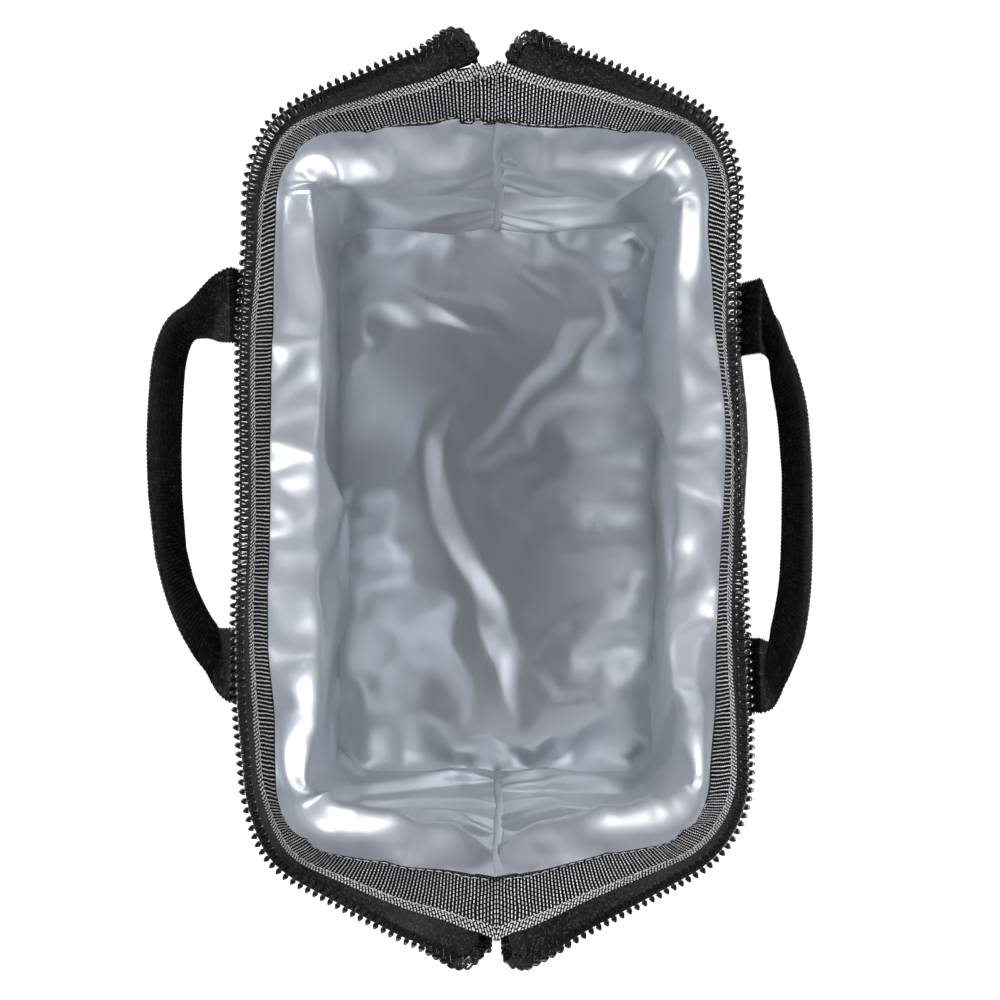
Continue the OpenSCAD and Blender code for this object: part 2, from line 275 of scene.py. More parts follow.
def join(name: str, *objects: Object) -> Object:
    """Join pieces that are sewn into one."""
    activate(objects[0])
    for obj in objects[1:]:
        obj.select_set(True)
    bpy.ops.object.join()
    objects[0].name = objects[0].data.name = name
    return objects[0]


def unit(vectors: Array) -> Array:
    """Rows of a table at length 1."""
    return vectors / np.linalg.norm(vectors, axis=1, keepdims=True)


def frames(points: Array, ups: Array, stretch: float | Array = 1.0) -> Array:
    """Axes for copies along a line: X along it, Y up, Z across.

    Args:
        points: Places in millimetres.
        ups: Direction of Y at each place.
        stretch: Factor on the copies' length along the line.

    Returns:
        Number of points by 3 by 4.
    """
    along = np.gradient(points, axis=0)
    ups = unit(ups)
    across = unit(np.cross(along, ups))
    along = np.cross(ups, across)
    return np.stack([along * stretch, ups, across, points], axis=2)


def distances(points: Array) -> Array:
    """Distance of each point of a line from the line's start."""
    return np.concatenate([[0.0], np.cumsum(np.linalg.norm(np.diff(points, axis=0), axis=1))])


def walk(points: Array, step: float, start: float = 0.0, spare: float | None = None) -> tuple[Array, Array]:
    """Even steps along a line of points.

    Args:
        points: The line, in millimetres.
        step: Distance between places.
        start: Distance of the first place from the line's start.
        spare: Distance kept free at the line's end, the same as at its start if not given.

    Returns:
        The places, and their index along the line as a float.
    """
    run = distances(points)
    at = np.arange(start, run[-1] - (start if spare is None else spare) + 1e-6, step)
    index = np.interp(at, run, np.arange(len(points)))
    return np.stack([np.interp(at, run, column) for column in points.T], axis=1), index


def at_index(values: Array, index: Array) -> Array:
    """Rows of a table read at float indices."""
    steps = np.arange(len(values))
    return np.stack([np.interp(index, steps, column) for column in values.T], axis=1)


def waves(u: Array, v: Array, size: float, seed: int) -> Array:
    """Smooth noise from -1 to 1.

    Args:
        u: First coordinate.
        v: Second coordinate.
        size: Distance between its bumps, in the coordinates' unit.
        seed: Seed of the pattern.

    Returns:
        The noise at each point.
    """
    table = np.random.RandomState(seed).uniform(-1, 1, (64, 64))
    a, b = u / size + 17.3, v / size + 9.7
    i, j = np.floor(a).astype(int), np.floor(b).astype(int)
    s, t = a - i, b - j
    s, t = s * s * s * (s * (6 * s - 15) + 10), t * t * t * (t * (6 * t - 15) + 10)
    near = table[i % 64, j % 64] * (1 - s) + table[(i + 1) % 64, j % 64] * s
    far = table[i % 64, (j + 1) % 64] * (1 - s) + table[(i + 1) % 64, (j + 1) % 64] * s
    return near * (1 - t) + far * t


def ease(x: Array, low: float, high: float) -> Array:
    """Smooth step from 0 at low to 1 at high."""
    t = np.clip((x - low) / (high - low), 0, 1)
    return t * t * (3 - 2 * t)


@dataclass(frozen=True)
class Fold:
    """One crease in a cloth or film, as a ridge with a sharp crest."""

    u: float
    v: float
    angle: float
    length: float
    width: float
    height: float

    def sharper(self) -> "Fold":
        """The fine crest that runs along this fold."""
        fine = 0.42
        return Fold(self.u, self.v, self.angle, self.length * 0.9, self.width * fine, self.height * fine)

    def lift(self, u: Array, v: Array) -> Array:
        """Height of the crease at each point."""
        c, s = math.cos(math.radians(self.angle)), math.sin(math.radians(self.angle))
        along = (u - self.u) * c + (v - self.v) * s
        bend = 0.06 * self.length * np.sin(along / self.length * 2.2)
        across = (v - self.v) * c - (u - self.u) * s + bend
        reach = 1 - ease(np.abs(along), self.length * 0.35, self.length)
        return self.height * reach * np.exp(-np.sqrt(across**2 + 0.35) / self.width)


def scattered(count: int, seed: int, lean: float, heights: tuple[float, float]) -> list[Fold]:
    """Random small creases over a panel.

    Args:
        count: How many.
        seed: Seed of the scatter.
        lean: Usual direction in degrees.
        heights: Lowest and highest ridge, in millimetres.

    Returns:
        The creases.
    """
    rng = np.random.RandomState(seed)
    return [
        Fold(rng.uniform(-180, 180), rng.uniform(15, 165), lean + rng.normal(0, 38), rng.uniform(12, 45),
             rng.uniform(2.0, 7.0), rng.uniform(*heights) * rng.choice([-1, 1, 1]))
        for _ in range(count)
    ]


def lifted(folds: Sequence[Fold], u: Array, v: Array) -> Array:
    """Height of all the folds together at each point."""
    return sum(fold.lift(u, v) for fold in folds)


# ---------------------------------------------------------------- the bag's shape


@dataclass(frozen=True)
class BagShape:
    """The open bag's inside face, which every layer is measured from. All sizes are in millimetres."""

    base: Row = (72.0, 123.5, 0.0, 16.0)
    fold: Row = (79.0, 133.2, 0.177, 25.0)
    rim: Row = (86.0, 161.5, 0.57, 38.0)
    floor_z: float = 8.6
    fold_z: float = 172.0
    rim_z: float = 199.5
    wall_t: float = 6.6
    collar_t: float = 2.0
    bulge: float = 2.5
    girth: Row = (0.0, 98.0, 133.0, SEAM)

    def level(self, z: float) -> Row:
        """Half width, half length, slope of the ends and corner radius at a height."""
        if z <= self.fold_z:
            s = max(0.0, (z - self.floor_z) / (self.fold_z - self.floor_z))
            steps = (s * s, s * s, s * s, s)
            return tuple(a + (b - a) * t for a, b, t in zip(self.base, self.fold, steps))
        c = (z - self.fold_z) / (self.rim_z - self.fold_z)
        return tuple(a + (b - a) * c for a, b in zip(self.fold, self.rim))

    def outside(self, z: float) -> float:
        """Distance of the outer face from the inside face at a height."""
        if z <= self.fold_z:
            s = max(0.0, (z - self.floor_z) / (self.fold_z - self.floor_z))
            return self.wall_t - 1.8 * max(0.0, 1 - (z - 1.2) / 8) ** 2 + self.bulge * math.sin(math.pi * s)
        return self.wall_t + (self.collar_t - self.wall_t) * min(1.0, (z - self.fold_z) / 10)

    def ring(self, z: float, d: float, u: Array) -> tuple[Array, Array]:
        """The front half's outline at a height.

        Args:
            z: Height.
            d: Distance outside the inside face.
            u: Places round the outline, 0 at the wall's middle and SEAM at the end seams.

        Returns:
            Places as n by 2, and the outward normals there.
        """
        w, l, slope, r = self.level(z)
        w, l, r = w + d, l + d * math.hypot(1, slope), max(r + d, 2.0)
        lean = math.atan(slope)
        cx, cy = l - slope * w - r / math.tan(math.pi / 4 + lean / 2), r - w
        q = np.interp(np.abs(u), self.girth, [0, 1, 2, 3])
        turn = np.radians(-90 + (90 - math.degrees(lean)) * np.clip(q - 1, 0, 1))
        x, y = cx + r * np.cos(turn), cy + r * np.sin(turn)
        x = np.where(q < 1, cx * q, x)
        rest = np.clip(q - 2, 0, 1)
        x, y = x + (l - x) * rest, y - y * rest
        sign = np.where(u < 0, -1.0, 1.0)
        return np.stack([x * sign, y], 1), np.stack([np.cos(turn) * sign, np.sin(turn)], 1)

    def sheet(self, side: Side, u: Array, z: Array, d: Array) -> Array:
        """Places on a surface that follows the walls.

        Args:
            side: Which half of the bag.
            u: Places round the outline, one for each column.
            z: Heights, one for each row.
            d: Distance outside the inside face, rows by columns.

        Returns:
            Rows by columns by 3, in millimetres.
        """
        out = np.zeros((len(z), len(u), 3))
        for j, height in enumerate(z):
            level_d = float(np.median(d[j]))
            flat, normal = self.ring(height, level_d, u)
            out[j, :, :2] = flat + normal * (d[j] - level_d)[:, None]
            out[j, :, 2] = height
        out[..., 1] *= side.mirror
        return out

    def trace(self, side: Side, u: Array, z: Array, d: Array) -> tuple[Array, Array]:
        """A line on a surface that follows the walls.

        Args:
            side: Which half of the bag.
            u: Places round the outline.
            z: Height at each place.
            d: Distance outside the inside face at each place.

        Returns:
            Points in millimetres, and the outward normals there.
        """
        points, normals = [], []
        for place, height, distance in zip(u, z, d):
            (point,), (normal,) = self.ring(height, distance, np.array([place]))
            points.append([point[0], point[1] * side.mirror, height])
            normals.append([normal[0], normal[1] * side.mirror, 0.0])
        return np.array(points), np.array(normals)


BAG = BagShape()


def spline(x: Array, knots: Sequence[float], values: Sequence[float]) -> Array:
    """Smooth curve through values at knots, held still beyond both ends."""
    k, v = np.array(knots, float), np.array(values, float)
    slope = np.gradient(v, k)
    i = np.clip(np.searchsorted(k, x) - 1, 0, len(k) - 2)
    h = k[i + 1] - k[i]
    t = np.clip((x - k[i]) / h, 0, 1)
    return ((2 * t**3 - 3 * t**2 + 1) * v[i] + (t**3 - 2 * t**2 + t) * h * slope[i]
            + (3 * t**2 - 2 * t**3) * v[i + 1] + (t**3 - t**2) * h * slope[i + 1])


@dataclass(frozen=True)
class Drift:
    """How far the soft top of the bag stands off its even shape, in millimetres.

    The lowest height has no drift, and each higher one has a row of shifts at the knots along X.
    """

    heights: Row = (100.0, 172.0, 188.0, 198.0)
    knots: Row = (-120, -104, -90, -74, -57, -40, -7, 27, 43, 60, 77, 90, 103, 120)
    front: tuple[Row, ...] = (
        (2.5, 3.8, 3.2, 2.0, 1.7, 1.3, -0.6, -1.8, -0.4, 1.7, 2.9, 4.2, 3.6, 1.0),
        (1.5, 1.4, 1.0, 1.4, 2.4, 2.8, 2.1, 2.1, 3.8, 4.6, 3.9, 3.2, 2.6, 0.6),
        (2.2, 3.4, 3.8, 3.8, 4.2, 4.8, 5.0, 5.6, 6.0, 6.2, 6.2, 5.8, 3.8, 0.4),
    )
    back: tuple[Row, ...] = (
        (1.0, 1.3, 0.8, 0.4, -1.4, -2.0, -1.2, -1.0, -0.7, 0.0, 0.2, 0.7, 1.0, 0.0),
        (1.2, 3.0, 1.2, 0.1, -0.9, -1.5, -0.8, -0.9, -1.2, -0.8, 0.8, 1.4, 2.2, -0.6),
        (1.2, 3.4, 3.3, 1.6, 0.8, 0.7, 0.7, 0.4, 0.4, 0.8, 2.0, 2.6, 1.4, -1.6),
    )
    ends: tuple[Row, Row] = ((0, 12, 20, 30, 45, 56, 65, 74, 84), (0, 0.1, 1.0, 3.2, 4.8, 6.1, 6.5, 6.2, 4.0))

    def moved(self, points: Array) -> Array:
        """Points in millimetres after the drift.

        Args:
            points: Any number of points by 3.

        Returns:
            The points, moved in X and Y.
        """
        x, y, z = points.T
        level = np.interp(z, self.heights, range(4))
        rise, near_end = ease(level, 0, 1), ease(x, 62, 108)
        low, middle, high = np.clip(level - 1, 0, 1), np.abs(level - 2), np.clip(level - 2, 0, 1)
        share = (rise * (1 - low), np.clip(1 - middle, 0, 1), high)
        front, back = (sum(s * spline(x, self.knots, row) for s, row in zip(share, rows))
                       for rows in (self.front, self.back))
        inwards = np.where(y < 0, front, back) * ease(np.abs(y), 14, 60)
        inwards *= 1 - ease(np.abs(x), 118, 138) * 0.8
        outwards = spline(np.abs(y), *self.ends) * rise * near_end
        collar = ease(z, 150, 170) * (1 - ease(z, 190, 197))
        outwards += 2.4 * np.exp(-(((y - 14) / 9) ** 2)) * collar * near_end
        far = -ease(-x, 70, 118) * rise * ease(np.abs(y), 14, 34) * np.where(y > 0, 1.8, -1.0)
        return np.stack([x + outwards + far, y - np.sign(y) * inwards, z], 1)


DRIFT = Drift()


def spaced(low: float, high: float, step: float) -> Array:
    """Evenly spaced values about a step apart, ends included."""
    return np.linspace(low, high, max(2, int(round((high - low) / step)) + 1))


def pairs(u: Array, v: Array) -> Array:
    """Rows by columns of both coordinates together."""
    return np.stack(np.meshgrid(u, v), 2)


# ---------------------------------------------------------------- finishes


Value = float | tuple | Socket


class Graph:
    """A node tree that is being wired."""

    def __init__(self, tree: Tree) -> None:
        """Start on an empty tree."""
        self.tree = tree
        tree.nodes.clear()

    def feed(self, node: Node, inputs: dict[str | int, Value]) -> None:
        """Give a node's inputs their values, or link sockets to them."""
        for key, value in inputs.items():
            if isinstance(value, Socket):
                self.tree.links.new(value, node.inputs[key])
            else:
                node.inputs[key].default_value = value

    def add(self, kind: str, inputs: dict[str | int, Value] | None = None, **settings: object) -> Node:
        """Add a node.

        Args:
            kind: Node type without its ShaderNode prefix.
            inputs: Values or sockets for its inputs.
            settings: Properties of the node.

        Returns:
            The node.
        """
        node = self.tree.nodes.new(kind if kind.startswith("Node") else "ShaderNode" + kind)
        for key, value in settings.items():
            setattr(node, key, value)
        self.feed(node, inputs or {})
        return node

    def maths(self, operation: str, a: Value, b: Value = 0.0, c: Value = 0.0) -> Socket:
        """Result of one Math node."""
        return self.add("Math", {0: a, 1: b, 2: c}, operation=operation).outputs[0]

    def times(self, a: Value, *others: Value) -> Socket:
        """Product of values."""
        for b in others:
            a = self.maths("MULTIPLY", a, b)
        return a

    def plus(self, a: Value, b: Value) -> Socket:
        """Sum of two values."""
        return self.maths("ADD", a, b)

    def ramp(self, a: Value, slope: float, start: Value) -> Socket:
        """Straight line: a times the slope, plus the start."""
        return self.maths("MULTIPLY_ADD", a, slope, start)

    def rest(self, a: Value) -> Socket:
        """What is left of 1."""
        return self.maths("SUBTRACT", 1.0, a)

    def hump(self, a: Value) -> Socket:
        """Round hump in every unit, 0 at whole numbers and 1 halfway."""
        return self.maths("SINE", self.times(self.maths("FRACT", a), math.pi))

    def blend(self, factor: Value, a: Value, b: Value) -> Socket:
        """Two colours mixed, by the colour sockets of a Mix node."""
        return self.add("Mix", {0: factor, 6: a, 7: b}, data_type="RGBA").outputs[2]

    def window(self, value: Value, low: float, high: float) -> Socket:
        """Smooth step of a value from 0 at low to 1 at high."""
        span = {"Value": value, "From Min": low, "From Max": high}
        return self.add("MapRange", span, interpolation_type="SMOOTHSTEP").outputs[0]

    def noise(self, place: Value, scale: float, detail: float = 2.0, rough: float = 0.5) -> Socket:
        """Noise value at a place."""
        settings = {"Vector": place, "Scale": scale, "Detail": detail, "Roughness": rough}
        return self.add("TexNoise", settings).outputs[0]

    def own_number(self, i: Value, j: Value) -> Socket:
        """A random number for each cell of a grid."""
        cell = self.add("CombineXYZ", {0: i, 1: j}).outputs[0]
        return self.add("TexWhiteNoise", {"Vector": cell}, noise_dimensions="3D").outputs[0]

    def axes(self, place: Value) -> tuple[Socket, Socket]:
        """X and Y of a vector."""
        node = self.add("SeparateXYZ", {0: place})
        return node.outputs[0], node.outputs[1]

    def place(self) -> Socket:
        """The piece's own coordinates."""
        return self.add("TexCoord").outputs["Object"]

    def cloth_place(self) -> Socket:
        """The cloth's own place, in metres along and across it."""
        return self.add("UVMap").outputs[0]

    def shared(self, group: Tree, **inputs: Value) -> dict[str, Socket]:
        """Place a shared group and return its outputs."""
        node = self.add("Group", node_tree=group)
        self.feed(node, inputs)
        return node.outputs


def open_group(name: str, inputs: dict[str, float | None],
               outputs: Sequence[str]) -> tuple[Graph, Node, Node]:
    """Start a shared shader group.

    Args:
        name: Name of the group.
        inputs: Value by name, or None for a vector.
        outputs: Names of its value outputs.

    Returns:
        The graph with its input and output nodes.
    """
    tree = bpy.data.node_groups.new(name, "ShaderNodeTree")
    for label, value in inputs.items():
        kind = "NodeSocketVector" if value is None else "NodeSocketFloat"
        socket = tree.interface.new_socket(label, in_out="INPUT", socket_type=kind)
        if value is not None:
            socket.default_value = value
    for label in outputs:
        tree.interface.new_socket(label, in_out="OUTPUT", socket_type="NodeSocketFloat")
    graph = Graph(tree)
    return graph, graph.add("NodeGroupInput"), graph.add("NodeGroupOutput")


def weave_group() -> Tree:
    """Yarns over and under each other: their height, each yarn's own number and which one is on top."""
    sizes = {"Cloth": None, "Along": 0.001, "Across": 0.001, "Twill": 1.0}
    g, given, out = open_group("Woven yarns", sizes, ("Height", "Yarn", "Top"))
    cloth, along, across, twill = (given.outputs[name] for name in sizes)
    x, y = g.axes(cloth)
    sway = g.noise(cloth, 60.0, 1.0)
    p = g.maths("DIVIDE", g.ramp(sway, 0.0008, x), along)
    q = g.maths("DIVIDE", g.ramp(sway, 0.0006, y), across)
    i, j = g.maths("FLOOR", p), g.maths("FLOOR", q)
    step = g.plus(i, g.times(j, twill))
    over = g.maths("LESS_THAN", g.maths("FLOORED_MODULO", step, g.plus(twill, 1.0)), 1.0)
    round_p, round_q = g.hump(p), g.hump(q)
    high = g.times(round_p, g.maths("POWER", round_q, 0.6))
    low = g.times(round_q, g.maths("POWER", round_p, 0.6), 0.75)
    height = g.plus(g.times(over, high), g.times(g.rest(over), low))
    g.feed(out, {"Height": height, "Yarn": g.own_number(i, j), "Top": over})
    return g.tree


def wear_group() -> Tree:
    """Use marks: broad blotches, fine fuzz and sparse lint over a piece."""
    g, given, out = open_group("Use and lint", {"Place": None}, ("Blotch", "Fuzz", "Lint"))
    place = given.outputs["Place"]
    cells = g.add("TexVoronoi", {"Vector": place, "Scale": 240.0}, feature="F1")
    speck = g.rest(g.window(cells.outputs["Distance"], 0.05, 0.12))
    rare = g.maths("GREATER_THAN", g.axes(cells.outputs["Color"])[0], 0.93)
    blotch = g.window(g.noise(place, 22.0, 3.0, 0.55), 0.3, 0.7)
    g.feed(out, {"Blotch": blotch, "Fuzz": g.noise(place, 1500.0, 2.0, 0.6), "Lint": g.times(speck, rare)})
    return g.tree


WEAVE = weave_group()
WEAR = wear_group()


def grey(value: float, warm: float = 0.0) -> Row:
    """A linear grey, a little warm or cool."""
    return (value * (1 + warm), value, value * (1 - warm), 1.0)


@dataclass(frozen=True)
class Finish:
    """Base of every finish: builds one material by its name."""

    name: str
    slot: str
    roughness: float = 0.8

    def build(self) -> Material:
        """The material, made on first use."""
        known = bpy.data.materials.get(self.name)
        if known:
            return known
        material = bpy.data.materials.new(self.name)
        material.use_nodes = True
        graph = Graph(material.node_tree)
        shader = graph.add("BsdfPrincipled", {"Roughness": self.roughness})
        graph.add("OutputMaterial", {"Surface": shader.outputs[0]}).is_active_output = True
        self.wire(graph, shader)
        return material

    def wire(self, g: Graph, shader: Node) -> None:
        """Wire colour, roughness and relief into the shader."""
        raise NotImplementedError

    def bump(self, g: Graph, shader: Node, height: Value, depth: float) -> None:
        """Relief from a height that runs from 0 to 1, with its depth in millimetres."""
        relief = g.add("Bump", {"Height": height, "Distance": depth * MM, "Strength": 1.0})
        g.feed(shader, {"Normal": relief.outputs[0]})

    def dress(self, obj: Object) -> None:
        """Put the finish on a piece."""
        obj.data.materials.clear()
        obj.data.materials.append(self.build())

    def dress_node(self, name: str) -> None:
        """Put the finish on a CAD node that stays."""
        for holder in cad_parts[name].material_slots:
            holder.material = self.build()


@dataclass(frozen=True)
class Woven(Finish):
    """A cloth of one dark yarn with paler flecks; along and across are the yarns' spacing."""

    dark: float = 0.012
    pale: float = 0.03
    along: float = 0.6
    across: float = 0.6
    twill: float = 1.0
    depth: float = 0.2
    flecks: float = 0.0
    fleck_tone: float = 0.5
    sheen: float = 0.25
    speck: float = 1.0

    def flecked(self, g: Graph, place: Socket, top: Socket, colour: Socket) -> Socket:
        """Short pale flecks on the yarns that lie on top, some of them rosy."""
        x, y = g.axes(place)
        slub = g.noise(g.add("CombineXYZ", {0: g.times(x, 0.22), 1: y}).outputs[0], 2300.0, 1.0)
        mark = g.times(g.window(slub, 1 - self.flecks, 1.06 - self.flecks), top)
        blush = g.window(g.noise(place, 90.0, 0.0), 0.60, 0.64)
        return g.blend(mark, colour, g.blend(blush, grey(self.fleck_tone, 0.02), (0.55, 0.36, 0.36, 1.0)))

    def wire(self, g: Graph, shader: Node) -> None:
        """Yarns with their own tone and painted shade in the weave's hollows, flecks, fuzz and lint over a
        woven relief.
        """
        place = g.cloth_place()
        cloth = g.shared(WEAVE, Cloth=place, Along=self.along * MM, Across=self.across * MM, Twill=self.twill)
        wear = g.shared(WEAR, Place=g.place())
        # Each yarn's own random tone, times painted shade: a yarn is drawn darker where the weave's height is
        # low, in its hollows and under the yarns on top.
        tone = g.times(g.maths("POWER", cloth["Yarn"], self.speck), g.ramp(cloth["Height"], 0.65, 0.35))
        colour = g.blend(tone, grey(self.dark), grey(self.pale, -0.03))
        if self.flecks > 0:
            colour = self.flecked(g, place, cloth["Top"], colour)
        colour = g.blend(g.times(wear["Blotch"], 0.3), colour, grey(self.pale))
        g.feed(shader, {
            "Base Color": g.blend(g.times(wear["Lint"], 0.15), colour, grey(0.12)),
            "Roughness": g.ramp(wear["Fuzz"], 0.2, self.roughness - 0.1),
            "Specular IOR Level": 0.12, "Sheen Weight": self.sheen, "Sheen Roughness": 0.5})
        self.bump(g, shader, g.ramp(wear["Fuzz"], 0.25, cloth["Height"]), self.depth)


@dataclass(frozen=True)
class Foil(Finish):
    """Metallised film: satin silver with fine crinkles and faint scuffs."""

    tone: Row = (0.70, 0.72, 0.76, 1.0)
    scuff: Row = (0.57, 0.595, 0.645, 1.0)

    def wire(self, g: Graph, shader: Node) -> None:
        """Satin metal whose gloss and relief change with its crinkles."""
        place = g.place()
        blotch = g.shared(WEAR, Place=place)["Blotch"]
        g.feed(shader, {
            "Base Color": g.blend(g.times(blotch, 0.35), self.tone, self.scuff),
            "Roughness": g.ramp(g.noise(place, 120.0), 0.14, self.roughness - 0.05), "Metallic": 0.84})
        self.bump(g, shader, g.ramp(g.noise(place, 2600.0, 2.0, 0.6), 0.012, g.noise(place, 30.0)), 0.3)


@dataclass(frozen=True)
class Ribbed(Finish):
    """Binding tape: ribs across it, each a row of white stitches on black, with a twisted edge."""

    pitch: float = 1.45
    dash: float = 1.2
    width: float = 16.0
    black: float = 0.0015
    white: float = 0.94

    def wire(self, g: Graph, shader: Node) -> None:
        """White dashes down each rib, staggered rib by rib, slanted plies along both rims, and painted shade
        that dims the white along the inner edge.
        """
        place = g.cloth_place()
        wear = g.shared(WEAR, Place=g.place())
        x, y = g.axes(place)
        wander = g.times(g.maths("SUBTRACT", g.noise(place, 130.0), 0.5), 0.0012)
        p = g.maths("DIVIDE", g.plus(x, wander), self.pitch * MM)
        rib = g.maths("FLOOR", p)
        stagger = g.times(g.maths("FLOORED_MODULO", rib, 2.0), 0.5)
        q = g.plus(g.maths("DIVIDE", y, self.dash * MM), stagger)
        dash = g.window(g.hump(q), 0.38, 0.58)
        strength = g.ramp(g.own_number(rib, g.maths("FLOOR", q)), 0.35, 0.65)
        white = g.times(g.window(g.hump(p), 0.84, 0.94), dash, strength)
        slant = g.plus(g.maths("DIVIDE", x, 1.3 * MM), g.maths("DIVIDE", y, 2.3 * MM))
        twist = g.times(dash, g.window(g.hump(slant), 0.62, 0.78))
        outer = g.rest(g.window(g.maths("SUBTRACT", self.width * MM, y), 0.0026, 0.0028))
        rim = g.maths("MAXIMUM", outer, g.rest(g.window(y, 0.0009, 0.0013)))
        mask = g.plus(g.times(white, g.rest(rim)), g.times(twist, rim, 0.8))
        # Painted shade: the white drops to 15% towards the inner edge, standing in for the shadow of the
        # tape's rolled-under edge.
        rolled = g.ramp(g.window(y, 0.0012, 0.0026), 0.85, 0.15)
        worn_and_edge_shaded = g.times(mask, rolled, g.ramp(wear["Blotch"], -0.3, 1.0))
        g.feed(shader, {"Base Color": g.blend(worn_and_edge_shaded, grey(self.black), grey(self.white, -0.01)),
                        "Specular IOR Level": 0.1})
        self.bump(g, shader, g.plus(g.times(mask, 0.8), g.times(wear["Fuzz"], 0.3)), 0.22)


@dataclass(frozen=True)
class Moulded(Finish):
    """Moulded plastic or enamel: glossy, with faint flow marks and handling haze."""

    tone: float = 0.012
    coat: float = 0.0
    worn: float = 0.05
    gloss: float = 0.5

    def wire(self, g: Graph, shader: Node) -> None:
        """One dark tone whose gloss varies with fine grain and haze."""
        place = g.place()
        haze = g.times(g.shared(WEAR, Place=place)["Blotch"], self.worn)
        grain = g.noise(place, 900.0, 3.0, 0.6)
        g.feed(shader, {
            "Base Color": g.blend(haze, grey(self.tone), grey(0.12)),
            "Roughness": g.ramp(grain, 0.16, self.roughness - 0.08),
            "Specular IOR Level": self.gloss, "Coat Weight": self.coat, "Coat Roughness": 0.12})
        self.bump(g, shader, grain, 0.03)


@dataclass(frozen=True)
class Twisted(Finish):
    """Sewing thread, twisted from fine plies."""

    tone: float = 0.5

    def wire(self, g: Graph, shader: Node) -> None:
        """Slanted plies with a soft sheen, and painted shade in the grooves between them."""
        twist = {"Vector": g.place(), "Scale": 900.0, "Distortion": 3.0, "Detail": 1.0}
        ply = g.add("TexWave", twist, bands_direction="DIAGONAL").outputs["Fac"]
        # Painted shade: the thread's tone drops to 55% where the ply relief is low, in the grooves between
        # plies.
        colour = g.blend(ply, grey(self.tone * 0.55), grey(self.tone))
        g.feed(shader, {"Base Color": colour, "Sheen Weight": 0.2})
        self.bump(g, shader, ply, 0.08)


@dataclass(frozen=True)
class Cellular(Finish):
    """Closed-cell foam or pressed board: a plain tone with a pitted grain."""

    tone: float = 0.7
    cell: float = 900.0

    def wire(self, g: Graph, shader: Node) -> None:
        """Pits of one size with a blotchy tone."""
        place = g.place()
        blotch = g.shared(WEAR, Place=place)["Blotch"]
        g.feed(shader, {"Base Color": g.blend(blotch, grey(self.tone), grey(self.tone * 0.86, 0.02))})
        cells = g.add("TexVoronoi", {"Vector": place, "Scale": self.cell})
        self.bump(g, shader, cells.outputs["Distance"], 0.15)


SHELL_CLOTH = Woven("heather shell cloth", "shell_fabric", dark=0.006, pale=0.035, along=0.55, across=0.55,
                    depth=0.16, flecks=0.42, fleck_tone=0.42, sheen=0.06)
BASE_CLOTH = Woven("base cloth", "shell_fabric", dark=0.005, pale=0.02, along=0.7, across=0.7, sheen=0.05)
TAPE_CLOTH = Woven("zip tape cloth", "zip_tape", dark=0.001, pale=0.08, along=0.62, across=0.5, twill=2.0,
                   sheen=0.01, speck=5.0)
WEBBING = Woven("handle webbing", "webbing", dark=0.0014, pale=0.05, along=1.36, across=1.0, depth=0.45,
                sheen=0.02, speck=4.0)
PIPING = Woven("seam tape cloth", "shell_fabric", dark=0.003, pale=0.012, along=0.5, across=0.5, depth=0.15,
               sheen=0.04)
FOIL = Foil("liner foil", "foil_liner", 0.34)
BINDING = Ribbed("ribbed binding", "binding", 0.85)
TOOTH = Moulded("tooth plastic", "zip_teeth", 0.2, tone=0.002, worn=0.01, gloss=0.6)
ENAMEL = Moulded("slider enamel", "slider_metal", 0.28, tone=0.014, coat=0.4, worn=0.12)
PALE_THREAD = Twisted("pale thread", "binding", 0.6, tone=0.55)
DARK_THREAD = Twisted("dark thread", "webbing", 0.55, tone=0.014)
FOAM = Cellular("wall foam", "foam", tone=0.72)
BOARD = Cellular("base board", "board", 0.7, tone=0.03, cell=1500.0)


# ---------------------------------------------------------------- pieces


@dataclass
class Piece:
    """A finished piece with what it stands for."""

    obj: Object
    nodes: tuple[str, ...] = ()
    body: str = "bag"

    def settle(self) -> None:
        """Let the piece drift with the soft rim, attach it to its body and replace its CAD nodes."""
        if self.body == "bag":
            set_points(self.obj, DRIFT.moved(get_points(self.obj)))
        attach(self.obj, self.body)
        if self.nodes:
            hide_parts(*self.nodes)
        log.info("%s: %d faces for %s", self.obj.name, len(self.obj.data.polygons), self.nodes or "no node")


def stitch_model(length: float, thick: float) -> Object:
    """One stitch of thread, bowed over the cloth, along X in metres."""
    deselect()
    radius, depth, turn = thick / 2 * MM, length * MM, (0, math.pi / 2, 0)
    bpy.ops.mesh.primitive_cylinder_add(vertices=6, radius=radius, depth=depth, rotation=turn)
    obj = bpy.context.object
    bpy.ops.object.transform_apply(location=True, rotation=True, scale=True)
    edit(obj, lambda: bpy.ops.mesh.subdivide(number_cuts=2))
    for v in obj.data.vertices:
        t = v.co.x / (depth / 2)
        v.co.y += (0.25 - 0.9 * t * t) * thick * MM
        v.co.z *= 1 - 0.35 * t * t
    return obj


def stitches(name: str, line: Array, normals: Array, thread: Finish, length: float, gap: float = 0.5,
             thick: float = 0.42) -> Object:
    """A row of lockstitch along a line.

    Args:
        name: Name of the row.
        line: Points on the cloth, in millimetres.
        normals: Direction away from the cloth at each point.
        thread: Finish of the thread.
        length: Length of a stitch.
        gap: Space between stitches.
        thick: Thickness of the thread.

    Returns:
        The row as one object.
    """
    places, index = walk(line, length + gap, length / 2 + 0.5)
    row = copies(name, stitch_model(length, thick), frames(places, at_index(normals, index)))
    thread.dress(row)
    return row


